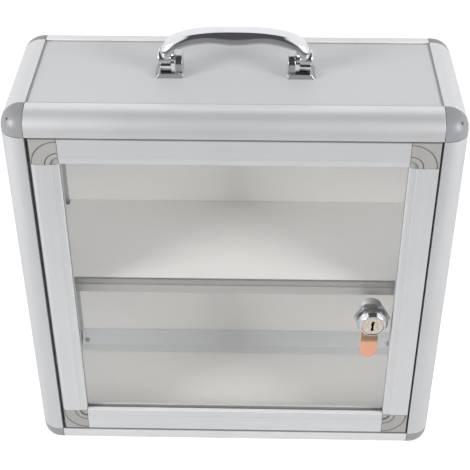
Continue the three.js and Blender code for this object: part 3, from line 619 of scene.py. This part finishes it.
def turned(outline, centre, axis, steps):
    """Spins an outline of (radius, distance along the axis) points about X, Y or Z through centre."""
    outward = Z if abs(axis.x) > 0.5 else X
    obj = drawn([centre + outward * radius + axis * along for radius, along in outline])
    bpy.ops.mesh.spin(steps=steps, angle=math.tau, center=centre, axis=axis)
    bpy.ops.mesh.select_all(action="SELECT")
    bpy.ops.mesh.remove_doubles(threshold=0.002 * MM)
    close_outwards()
    return obj


def prism(points, way):
    """A flat outline of points, extruded by way."""
    obj = drawn(points)
    bpy.ops.mesh.edge_face_add()
    extrude(way)
    close_outwards()
    return obj


def drill(obj, start, way, radius, depth, steps):
    """Cuts a round hole into obj, from start along way."""
    hole = turned([(0, 0), (radius, 0), (radius, depth), (0, depth)], start, way, steps)
    combine(obj, hole, "DIFFERENCE")


def rounded_line(points, radius, steps):
    """A line of points with its inner corners rounded."""
    points = [Vector(point) for point in points]
    rounded = [points[0]]
    for before, corner, after in zip(points, points[1:], points[2:]):
        into, out = corner - before, after - corner
        reach = min(radius, into.length * 0.45, out.length * 0.45)
        start, end = corner - into.normalized() * reach, corner + out.normalized() * reach
        for i in range(steps + 1):
            t = i / steps
            rounded.append(start.lerp(corner, t).lerp(corner.lerp(end, t), t))
    rounded.append(points[-1])
    return rounded


def sweep(obj, points, axis, swell=lambda point: 1):
    """Drags a flat face along points, all in one plane, and turns it about axis to stay square to them.
    swell gives its height at a point, as a factor of its first height."""
    open_mesh(obj)
    ways = [(after - before).normalized() for before, after in zip(points, points[2:])]
    ways = [(points[1] - points[0]).normalized(), *ways, (points[-1] - points[-2]).normalized()]
    axis_name = "XYZ"[list(axis).index(1)]
    for i in range(1, len(points)):
        extrude(points[i] - points[i - 1])
        turn = math.atan2(ways[i - 1].cross(ways[i]).dot(axis), ways[i - 1].dot(ways[i]))
        bpy.ops.transform.rotate(value=-turn, orient_axis=axis_name, center_override=points[i])
        grow = swell(points[i]) / swell(points[i - 1])
        if abs(grow - 1) > 1e-5:
            bpy.ops.transform.resize(value=(1, 1, grow), center_override=points[i])
    close_outwards()


# The operators


class BuildStep(bpy.types.Operator):
    """A step that makes one group of the lock box's pieces"""

    bl_options = {"REGISTER", "UNDO"}

    sizes = property(lambda self: bpy.context.scene.lock_box_sizes)
    colours = property(lambda self: bpy.context.scene.lock_box_colours)


class MakeRails(BuildStep):
    """The twelve satin aluminium edge rails"""

    bl_idname = "lockbox.edge_rails"
    bl_label = "Edge rails"

    def execute(self, context):
        sides, depths, levels = ("left", "right"), ("front", "back"), ("top", "bottom")
        runs = {
            "z": [f"{depth}_{side}_post" for depth in depths for side in sides],
            "y": [f"{side}_{level}_rail" for side in sides for level in levels],
            "x": [f"{depth}_{level}_rail" for depth in depths for level in levels],
        }
        for axis, nodes in runs.items():
            for node in nodes:
                finish = "back_rail" if axis == "x" and node.startswith("back") else f"rail_{axis}"
                finish_node(node, f"{node}_extrusion", finish, self.sizes.rail_edge)
        return {"FINISHED"}


class MakeCornerCaps(BuildStep):
    """The eight moulded corner caps"""

    bl_idname = "lockbox.corner_caps"
    bl_label = "Corner caps"

    def execute(self, context):
        for node in nodes_named("corner_cap_"):
            finish_node(node, f"{node}_moulding", "cap", self.sizes.cap_edge)
        return {"FINISHED"}


class MakePanels(BuildStep):
    """The outer laminate panels and the inner boards"""

    bl_idname = "lockbox.panels"
    bl_label = "Panels"

    def execute(self, context):
        for side in ("bottom", "back"):
            frame["nodes"][f"{side}_panel"].data.materials[0] = finishes["board"]
        lips = {name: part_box(name) for name in frame["nodes"] if name.endswith(("_rail", "_post"))}
        back_gap = 0.9 * MM
        low = Vector((lips["left_top_rail"][1].x, lips["front_top_rail"][1].y, 0))
        high = Vector((lips["right_top_rail"][0].x, lips["back_top_rail"][0].y - back_gap, 0))
        self.make_faced_panel("top_panel", Z, low, high)
        for side, way in (("left", -X), ("right", X)):
            low = Vector((0, lips[f"front_{side}_post"][1].y, lips[f"{side}_bottom_rail"][1].z))
            high = Vector((0, lips[f"back_{side}_post"][0].y, lips[f"{side}_top_rail"][0].z))
            self.make_faced_panel(f"{side}_panel", way, low, high)
        return {"FINISHED"}

    def make_faced_panel(self, node, way, low, high):
        """A panel whose outer face stands up between the rails' lips, which leaves a fine gap round it.
        low and high are the lips' edges, and 0 along way."""
        rise, gap, groove, root = self.sizes.panel_rise, self.sizes.panel_gap, 0.25 * MM, 0.5 * MM
        node_low, node_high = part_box(node)
        along = Vector([abs(part) for part in way])
        spread = Vector((1, 1, 1)) - along
        face = (node_high if sum(way) > 0 else node_low) * along
        raised = new_box(low + spread * gap + face - way * root, high - spread * gap + face + way * rise)
        if way == Z:
            for side in ("left", "right"):
                combine(raised, self.foot_room(*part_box(f"handle_bracket_{side}")), "DIFFERENCE")
        beyond, within = spread * MM, spread * gap * 0.9
        rim_low = node_low * spread - beyond + face - way * groove
        rim = new_box(rim_low, node_high * spread + beyond + face + way * MM)
        through = way * 2 * MM
        inside = new_box(low + within + face - through, high - within + face + through)
        combine(rim, inside, "DIFFERENCE")
        panel = node_copy(node)
        combine(panel, raised)
        combine(panel, rim, "DIFFERENCE")
        soften(panel, 0.1 * MM, 2)
        settle(panel, node, f"{node}_sheet", "laminate")

    def foot_room(self, low, high):
        """What a bracket's foot, with its leaning outer end, takes out of the top panel's raised face."""
        height, below, spare = 1 * MM, 0.02 * MM, 0.08 * MM
        outer = high.x + spare if low.x > 0 else low.x - spare
        around = Vector((spare, spare, 0))
        top = low.z + height
        room = new_box(low - around - Z * below, Vector((high.x, high.y, top)) + around)
        pick(room, "VERT", lambda point: abs(point.x - outer) < 1e-6 and point.z > top - 1e-6)
        bpy.ops.transform.translate(value=(-math.copysign(FOOT_LEAN * height, outer), 0, 0))
        close_mesh()
        return room


class MakeDoorFrame(BuildStep):
    """The door's two stiles and two rails"""

    bl_idname = "lockbox.door_frame"
    bl_label = "Door bars"

    def execute(self, context):
        for bar, axis in {"hinge_stile": "z", "lock_stile": "z", "bottom_rail": "x", "top_rail": "x"}.items():
            node, finish = f"door_{bar}", f"door_{axis}"
            finish_node(node, f"{node}_extrusion", finish, self.sizes.door_edge, 2)
        return {"FINISHED"}


class MakeDoorCorners(BuildStep):
    """The door's four moulded corners with their engraved arcs"""

    bl_idname = "lockbox.door_corners"
    bl_label = "Door corners"

    def execute(self, context):
        for node in nodes_named("door_corner_"):
            finish_node(node, f"{node}_moulding", "corner", 0.1 * MM, 2)
        return {"FINISHED"}


class MakePane(BuildStep):
    """The clear pane"""

    bl_idname = "lockbox.pane"
    bl_label = "Pane"

    def execute(self, context):
        frame["nodes"]["door_pane"].data.materials[0] = finishes["pane"]
        return {"FINISHED"}


class MakeLock(BuildStep):
    """The cam lock: body, washer, nut, plug, cam and screw"""

    bl_idname = "lockbox.cam_lock"
    bl_label = "Cam lock"

    def execute(self, context):
        low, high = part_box("lock_body")
        self.front = Vector(((low.x + high.x) / 2, low.y, (low.z + high.z) / 2))
        self.length = high.y - low.y
        for make in (self.make_body, self.make_washer, self.make_nut, self.make_plug, self.make_cam):
            make()
        finish_node("cam_screw", "cam_screw_turned", "steel", 0.2 * MM, 2)
        return {"FINISHED"}

    def turned(self, outline, steps=72):
        """Turned about the lock's axis from (radius, depth) points in millimetres."""
        return turned([(radius * MM, depth * MM) for radius, depth in outline], self.front, Y, steps)

    def depths(self, node):
        """How far a node starts and ends behind the lock's face, in millimetres."""
        return [(corner.y - self.front.y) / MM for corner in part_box(node)]

    def make_body(self):
        """A rounded rim, a cone down to the flange, and a threaded barrel."""
        pitch, depth = self.sizes.thread_pitch / MM, self.sizes.thread_depth / MM
        barrel, bore, flange_back, thread_start, end = 8.7, 6.1, 5.1, 5.9, self.length / MM
        root = barrel - depth
        thread = []
        along = thread_start
        while along + pitch < end - 0.9:
            thread += [(barrel, along), (root, along + pitch * 0.4), (root, along + pitch * 0.6)]
            along += pitch
        seat = (8.7, 1.9)
        rim = [(8.7, 0.45), (8.78, 0.16), (9.0, 0.03), (9.25, 0), (9.55, 0.05), (9.78, 0.22), (9.95, 0.5)]
        flange = [(11.5, 2.95), (11.64, 3.25), (11.7, 3.6), (11.7, 4.85), (11.6, 5.05), (11.45, flange_back)]
        neck = [(barrel, flange_back), (barrel, thread_start)]
        back = [(barrel, end - 0.8), (barrel - 0.75, end), (6.6, end), (bore, end - 0.4), (bore, seat[1])]
        body = self.turned([seat, *rim, *flange, *neck, *thread, *back, seat], 96)
        smooth(body, 28)
        settle(body, "lock_body", "lock_body_turned", "lock")

    def make_washer(self):
        """A thin flat ring."""
        hole, edge = 9, 12
        near, far = self.depths("lock_washer")
        washer = self.turned([(hole, near), (edge, near), (edge, far), (hole, far), (hole, near)])
        soften(washer, 0.12 * MM, 2)
        settle(washer, "lock_washer", "lock_washer_disc", "steel")

    def make_nut(self):
        """A hexagon nut with its corners turned off at both faces."""
        low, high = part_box("lock_nut")
        bpy.ops.object.select_all(action="DESELECT")
        bpy.ops.mesh.primitive_cylinder_add(
            vertices=6,
            radius=(high.x - low.x) / 2,
            depth=high.y - low.y,
            location=(self.front.x, (low.y + high.y) / 2, self.front.z),
            rotation=(math.pi / 2, math.pi / 2, 0),
        )
        nut = bpy.context.object
        bpy.ops.object.transform_apply()
        near, far = self.depths("lock_nut")
        hole, wide, narrow, slope, past = 9, 14.1, 12.3, 0.9, 0.1
        start, end = (hole, near - past), (hole, far + past)
        cone = [(narrow, near - past), (wide, near + slope), (wide, far - slope), (narrow, far + past)]
        combine(nut, self.turned([start, *cone, end, start]), "INTERSECT")
        soften(nut, 0.15 * MM, 2)
        settle(nut, "lock_nut", "lock_nut_hexagon", "steel")

    def make_plug(self):
        """The plug with a slightly domed face, a stepped keyway, and a square tail that carries the cam."""
        start, end = self.depths("lock_plug")
        barrel_end = self.length / MM + 0.05
        dome = [(0, 0), (3.5, 0.02), (6.4, 0.08), (8.1, 0.2), (8.38, 0.34), (8.5, 0.6), (8.5, 1.6), (6, 1.6)]
        face = [(radius, start + depth) for radius, depth in dome]
        plug = self.turned([*face, (6, barrel_end), (0, barrel_end)])
        half = 3.5 * MM
        tail_low = self.front + Vector((-half, (barrel_end - 1) * MM, -half))
        combine(plug, new_box(tail_low, self.front + Vector((half, end * MM, half))))
        screw_hole, bore_start = 2.1, end - 7
        bore = [(0, bore_start), (screw_hole, bore_start), (screw_hole, end + 1), (0, end + 1)]
        combine(plug, self.turned(bore, 24), "DIFFERENCE")
        keyway = (
            *((-0.85, 4.5), (1.7, 4.5), (1.45, 2.9), (0.9, 2.75), (0.9, 0.3), (0.6, 0.1), (0.6, -2.4)),
            *((0.85, -2.6), (0.85, -4.8), (-1.4, -4.8), (-1.4, -2.5), (-0.95, -2.3), (-0.95, 0.2)),
            *((-1.45, 0.4), (-1.45, 2.75), (-0.85, 2.95)),
        )
        mouth, keyway_depth = self.front - Y * MM, 10 * MM
        cutter = prism([mouth + Vector((x, 0, z)) * MM for x, z in keyway], Y * keyway_depth)
        combine(plug, cutter, "DIFFERENCE")
        smooth(plug, 30)
        settle(plug, "lock_plug", "lock_plug_turned", "nickel")

    def make_cam(self):
        """A strip with round ends, cranked forward with smooth bends, and its square hole."""
        low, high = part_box("lock_cam")
        thick, width, bend, crank_drop = 1.6 * MM, high.x - low.x, 3.2 * MM, 15.3 * MM
        back, front = high.y - thick / 2, low.y + thick / 2
        crank_start = self.front.z - crank_drop
        crank_end = crank_start - (back - front)
        side = [(high.z, back), (crank_start, back), (crank_end, front), (low.z, front)]
        line = rounded_line([(self.front.x, depth, height) for height, depth in side], bend, 6)
        cam = new_flat(line[0], 1, (width, thick, 1))
        sweep(cam, line, X)
        for level in (low.z, high.z):

            def at_corner(a, b):
                return abs(a.z - level) < NEAR and abs(b.z - level) < NEAR and abs(a.x - b.x) < NEAR

            round_edges(cam, at_corner, width / 2 - 0.02 * MM, 16)
        half = 3.65 * MM
        hole_low = self.front + Vector((-half, self.length - 2 * MM, -half))
        combine(cam, new_box(hole_low, self.front + Vector((half, self.length + 4 * MM, half))), "DIFFERENCE")
        soften(cam, 0.22 * MM, 2, 40)
        settle(cam, "lock_cam", "lock_cam_strip", "zinc")


class MakeShelf(BuildStep):
    """The shelf board, its edge trim and the four pegs"""

    bl_idname = "lockbox.shelf"
    bl_label = "Shelf"

    def execute(self, context):
        finish_node("shelf_board", "shelf_board_panel", "board", 0.06 * MM, 2)
        finish_node("shelf_edge_trim", "shelf_edge_strip", "trim", 0.08 * MM, 2)
        for node in nodes_named("shelf_peg_"):
            finish_node(node, f"{node}_turned", "steel", 0.2 * MM, 2)
        return {"FINISHED"}


class MakeSmallHardware(BuildStep):
    """Rivets, pivot pins, handle pins and handle screws"""

    bl_idname = "lockbox.small_hardware"
    bl_label = "Pins, rivets and screws"

    def execute(self, context):
        for node in nodes_named("rail_rivet_", "handle_pin_", "handle_screw_", "lower_pivot", "upper_pivot"):
            finish_node(node, f"{node}_turned", "steel", 0.15 * MM, 2)
        return {"FINISHED"}


class MakeHandle(BuildStep):
    """The chrome grip and its two brackets"""

    bl_idname = "lockbox.handle"
    bl_label = "Handle"

    def execute(self, context):
        low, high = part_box("handle_pin_right")
        self.axis = Vector((0, 0, (low.z + high.z) / 2))
        self.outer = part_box("handle_grip")[1].x
        self.make_grip()
        for side in (-1, 1):
            self.make_bracket(side)
        return {"FINISHED"}

    def grip_line(self, steps=88):
        """Points at even distances along the grip's middle, from the left leg over to the right one."""
        half_span, rise, leg_start, dip, bump = 49.7, 18, 1.5, 1.3, 21
        power, fine_steps = 0.77, 3000
        start = math.asin((leg_start / rise) ** (1 / power))
        fine = []
        for i in range(fine_steps + 1):
            angle = math.pi - start - (math.pi - 2 * start) * i / fine_steps
            across = math.cos(angle)
            x = half_span * math.copysign(abs(across) ** power, across)
            sink = dip * hill(abs(x) / bump)
            fine.append(self.axis + Vector((x, 0, rise * math.sin(angle) ** power - sink)) * MM)
        reached = [0]
        for before, after in zip(fine, fine[1:]):
            reached.append(reached[-1] + (after - before).length)
        line, i = [], 0
        for step in range(steps + 1):
            wanted = reached[-1] * step / steps
            while i < len(fine) - 2 and reached[i + 1] < wanted:
                i += 1
            part = (wanted - reached[i]) / (reached[i + 1] - reached[i])
            line.append(fine[i].lerp(fine[i + 1], min(part, 1)))
        return line

    def make_grip(self):
        """A bar with a flat top and a full front edge, thicker at its middle, on two knuckles."""
        sizes, bump = self.sizes, 21 * MM
        line = self.grip_line()
        grip = new_flat(line[0], 1, (sizes.grip_thickness, sizes.grip_depth, 1))
        lean = math.atan2((line[1] - line[0]).x, (line[1] - line[0]).z)
        open_mesh(grip)
        bpy.ops.transform.rotate(value=-lean, orient_axis="Y", center_override=line[0])
        close_mesh()

        def swell(point):
            return 1 + sizes.grip_swell / sizes.grip_thickness * hill(abs(point.x) / bump)

        sweep(grip, line, Y, swell)
        self.round_grip(grip, line)
        for side in (-1, 1):
            self.add_knuckle(grip, side)
        smooth(grip, 34)
        settle(grip, "handle_grip", "handle_grip_bar", "chrome")

    def add_knuckle(self, grip, side):
        """A round-edged drum with a collar at the end of a leg, its pin's hole and the ear's room."""
        width, radius, collar, neck, wall, spare = 8.9, 6.3, 4.6, 2.6, 1.85, 1
        outer = Vector((side * self.outer, 0, self.axis.z))
        rim = [(radius - 0.9, 0), (radius - 0.35, 0.12), (radius - 0.1, 0.4), (radius, 0.9)]
        drum = [(0, 0), *rim, *((out, width - along) for out, along in reversed(rim))]
        end = width + neck
        drum += [(collar, width), (collar, end - 0.4), (collar - 0.4, end), (0, end)]
        points = [(out * MM, along * MM) for out, along in drum]
        combine(grip, turned(points, outer, -X * side, 64))
        pin_end = outer - X * side * wall * MM
        drill(grip, pin_end, -X * side, PIN_HOLE, (end + spare) * MM, 32)
        combine(grip, self.ear_room(side), "DIFFERENCE")

    def ear_room(self, side):
        """What is cut out of a leg's inner side, for the bracket's ear when the grip is folded down."""
        past_ear, width, half_depth = self.outer - 11.65 * MM, 7 * MM, 8 * MM
        low, top = self.axis.z - 7.9 * MM, self.axis.z + 9.5 * MM
        near, far = sorted((side * (past_ear - width), side * past_ear))
        room = new_box((near, -half_depth, low), (far, half_depth, top))

        def outer_top(a, b):
            return all(point.z > top - NEAR and abs(point.x) > past_ear - NEAR for point in (a, b))

        round_edges(room, outer_top, 0.7 * MM, 8)
        return room

    def round_grip(self, grip, line):
        """Rounds the bar's four long edges. The top front one is fuller at the middle of the bar."""
        sizes, mesh = self.sizes, grip.data
        width, waist = sizes.grip_front_round, sizes.grip_waist_round
        middle_half, leg_start, leg_run = 25 * MM, 28, 16
        weights = mesh.attributes.new("bevel_weight_edge", "FLOAT", "EDGE")
        for edge in mesh.edges:
            first, last = (mesh.vertices[i].co for i in edge.vertices)
            middle = (first + last) / 2
            flat = Vector((middle.x, 0, middle.z))
            nearest = min(range(1, len(line) - 1), key=lambda i: (line[i] - flat).length_squared)
            outward = (line[nearest + 1] - line[nearest - 1]).normalized().cross(Y)
            out = (flat - line[nearest]).dot(outward)
            if abs(first.y - last.y) > 1e-6 or abs(out) < sizes.grip_thickness * 0.35:
                continue
            if out < 0:
                radius = sizes.grip_under_round
            elif middle.y > 0:
                radius = sizes.grip_round
            else:
                away = abs(middle.x)
                near = hill(away / middle_half)
                far = math.sin(min(max(away / MM - leg_start, 0) / leg_run, 1) * math.pi / 2) ** 2
                radius = waist + (width - waist) * near + (sizes.grip_leg_round - waist) * far
            weights.data[edge.index].value = radius / width
        modify(grip, "BEVEL", width=width, segments=8, limit_method="WEIGHT", use_clamp_overlap=False)

    def make_bracket(self, side):
        """A foot whose outer end leans in, with an ear at its inner end that has round top corners."""
        node = "handle_bracket_left" if side < 0 else "handle_bracket_right"
        low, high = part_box(node)
        high.z -= self.sizes.ear_drop
        inner, outer = (high.x, low.x) if side < 0 else (low.x, high.x)
        foot, ear, straight, pin_wall = 4.2 * MM, 5 * MM, 8.4 * MM, 0.95 * MM
        foot_depth, seat_depth, ear_depth = 9.75, 9.12, 8.4
        foot_top = low.z + foot
        bracket = new_box((low.x, low.y, low.z), (high.x, high.y, foot_top))
        pick(bracket, "VERT", lambda point: abs(point.x - outer) < NEAR and point.z > foot_top - NEAR)
        bpy.ops.transform.translate(value=(-side * FOOT_LEAN * foot, 0, 0))
        bpy.ops.mesh.select_all(action="SELECT")
        split = inner + side * ear
        bpy.ops.mesh.bisect(plane_co=(split, 0, low.z), plane_no=(1, 0, 0))
        close_mesh()

        def ear_seat(centre, normal):
            return normal.z > 0.9 and abs(centre.x - inner) < ear

        pick(bracket, "FACE", ear_seat)
        middle = ((inner + split) / 2, 0, foot_top)
        rise = high.z - straight - foot_top
        extrude((0, 0, 0))
        bpy.ops.transform.resize(value=(1, seat_depth / foot_depth, 1), center_override=middle)
        extrude((0, 0, rise))
        bpy.ops.transform.resize(value=(1, ear_depth / seat_depth, 1), center_override=middle)
        extrude((0, 0, high.z - foot_top - rise))
        close_mesh()

        def crown_edge(a, b):
            return min(a.z, b.z) > high.z - NEAR and abs(a.y - b.y) < NEAR

        round_edges(bracket, crown_edge, self.sizes.ear_round, 20)
        pin_hole = Vector((inner + side * pin_wall, 0, self.axis.z))
        drill(bracket, pin_hole, X * side, PIN_HOLE, 6 * MM, 32)
        screw_hole = Vector((inner + side * ear / 2, 0, low.z - MM))
        drill(bracket, screw_hole, Z, 2 * MM, 6.05 * MM, 24)
        soften(bracket, self.sizes.metal_edge, 3, 40)
        settle(bracket, node, f"{node}_casting", "cast")


class MakeStage(BuildStep):
    """Floor, soft lights and the camera"""

    bl_idname = "lockbox.stage"
    bl_label = "Stage"

    def execute(self, context):
        self.add_floor()
        self.light_world()
        self.add_softbox("left_softbox", -58, 11.7)
        self.add_softbox("right_softbox", 58, 10.5)
        self.add_camera()
        context.scene.view_settings.view_transform = "Standard"
        return {"FINISHED"}

    def add_floor(self):
        """Pale paper that glows a little for the camera. Mirrors see it dimmed, and darker far in front."""
        floor = new_flat((0, 0, 0), 12)
        floor.name = "pale_floor"
        graph = Finish("floor_paper")
        tooth = graph.noise(700, 2)
        colour = graph.mix(tooth, shaded(self.colours.floor, 0.985), self.colours.floor)
        dimmed = graph.ray("Glossy") * (graph.band(graph.along("Y"), -0.2, -0.7) * 0.5 + 0.3)
        dim_colour = graph.mix(dimmed, colour, (0, 0, 0))
        paper = graph.node("BsdfPrincipled", {"Base Color": dim_colour, "Roughness": 0.9})
        seen = self.seen_directly(graph) * (1 - dimmed)
        glow = graph.node("Emission", {"Color": (1, 1, 1), "Strength": seen * 0.52})
        floor.data.materials.append(graph.end(graph.node("AddShader", {0: paper, 1: glow})))

    def seen_directly(self, graph):
        """1 for what the camera sees directly or in a mirror, and 0 for light on the box."""
        camera, glossy, through = (graph.ray(kind) for kind in ("Camera", "Glossy", "Transmission"))
        return through.maths("MAXIMUM", through, camera.maths("MAXIMUM", camera, glossy))

    def light_world(self):
        """White for the camera. Mirrors see a bright room that is dark high up in front, and the box is lit
        evenly, with a little more from low down all round."""
        world = bpy.data.worlds.new("studio")
        bpy.context.scene.world = world
        world.use_nodes = True
        graph = Graph(world.node_tree)
        across, back, height = (graph.along(axis, "Generated") for axis in "XYZ")
        camera, glossy = graph.ray("Camera"), graph.ray("Glossy")
        wall = graph.band(across.maths("ABSOLUTE"), 0.42, 0.56)
        dark_room = graph.band(height * 0.766 - back * 0.643, 0.5, 0.64) * (1 - wall)
        mirrored = 1.15 - dark_room * 1.05
        low = graph.band(height, 0.8, 0.4)
        rear = graph.band(back, 0.05, 0.45) * low
        front = graph.band(back, -0.05, -0.45) * low
        spread = graph.band(height, -0.02, 0.04) * (wall * low * 0.3 + rear * 0.4 + front * 0.3 + 0.42)
        level = camera + glossy * mirrored + (1 - camera.maths("MAXIMUM", camera, glossy)) * spread
        light = graph.node("Background", {"Color": (1, 1, 1), "Strength": level})
        graph.finish_with(light, "World")

    def add_softbox(self, name, azimuth, watts):
        """A square lamp aimed at the box, with azimuth in degrees to the right of straight in front."""
        elevation, distance, aim = 21, 1.3, Vector((0, 0, 0.16))
        lamp = bpy.data.lights.new(name, "AREA")
        lamp.shape = "SQUARE"
        lamp.size = 0.5
        lamp.energy = watts
        obj = new_object(name, lamp)
        across, rise = math.radians(azimuth), math.radians(elevation)
        way = Vector((math.sin(across) * math.cos(rise), -math.cos(across) * math.cos(rise), math.sin(rise)))
        obj.location = aim + way * distance
        obj.rotation_euler = (-way).to_track_quat("-Z", "Y").to_euler()
        obj.visible_camera = False

    def add_camera(self):
        """Set from the straight edges of the box: above its front, looking down at it."""
        yaw, pitch, roll = math.radians(-1.421), math.radians(37.373), math.radians(-0.180)
        place = Vector((0.0169, -0.7068, 0.7135))
        focal_pixels, photo_pixels = 1127.6, 470
        forward = Vector((math.sin(yaw) * math.cos(pitch), math.cos(yaw) * math.cos(pitch), -math.sin(pitch)))
        level = Vector((math.cos(yaw), -math.sin(yaw), 0))
        upward = level.cross(forward)
        right = math.cos(roll) * level + math.sin(roll) * upward
        up = math.cos(roll) * upward - math.sin(roll) * level
        turn = Matrix((right, up, -forward)).transposed().to_4x4()
        camera = bpy.data.cameras.new("photograph_camera")
        camera.sensor_width = 36
        camera.lens = camera.sensor_width * focal_pixels / photo_pixels
        camera.clip_start = 0.01
        obj = new_object("photograph_camera", camera)
        obj.matrix_world = Matrix.Translation(place) @ turn
        bpy.context.scene.camera = obj


class LockBoxPanel(bpy.types.Panel):
    """The lock box's steps, sizes and colours"""

    bl_idname = "VIEW3D_PT_lock_box"
    bl_label = "Lock box"
    bl_space_type = "VIEW_3D"
    bl_region_type = "UI"
    bl_category = "Lock box"

    def draw(self, context):
        for step in STEPS:
            self.layout.operator(step.bl_idname)
        for settings in (context.scene.lock_box_sizes, context.scene.lock_box_colours):
            for name in settings.__annotations__:
                self.layout.prop(settings, name)


STEPS = (
    MakeRails,
    MakeCornerCaps,
    MakePanels,
    MakeDoorFrame,
    MakeDoorCorners,
    MakePane,
    MakeLock,
    MakeShelf,
    MakeSmallHardware,
    MakeHandle,
    MakeStage,
)
CLASSES = (LockBoxColours, LockBoxSizes, *STEPS, LockBoxPanel)


def register():
    for kind in CLASSES:
        bpy.utils.register_class(kind)
    bpy.types.Scene.lock_box_colours = PointerProperty(type=LockBoxColours)
    bpy.types.Scene.lock_box_sizes = PointerProperty(type=LockBoxSizes)


def unregister():
    del bpy.types.Scene.lock_box_sizes
    del bpy.types.Scene.lock_box_colours
    for kind in reversed(CLASSES):
        bpy.utils.unregister_class(kind)


def main():
    register()
    make_finishes(bpy.context.scene.lock_box_colours)
    for step in STEPS:
        group, name = step.bl_idname.split(".")
        getattr(getattr(bpy.ops, group), name)()
    bpy.context.view_layer.update()


if __name__ == "__main__":
    main()
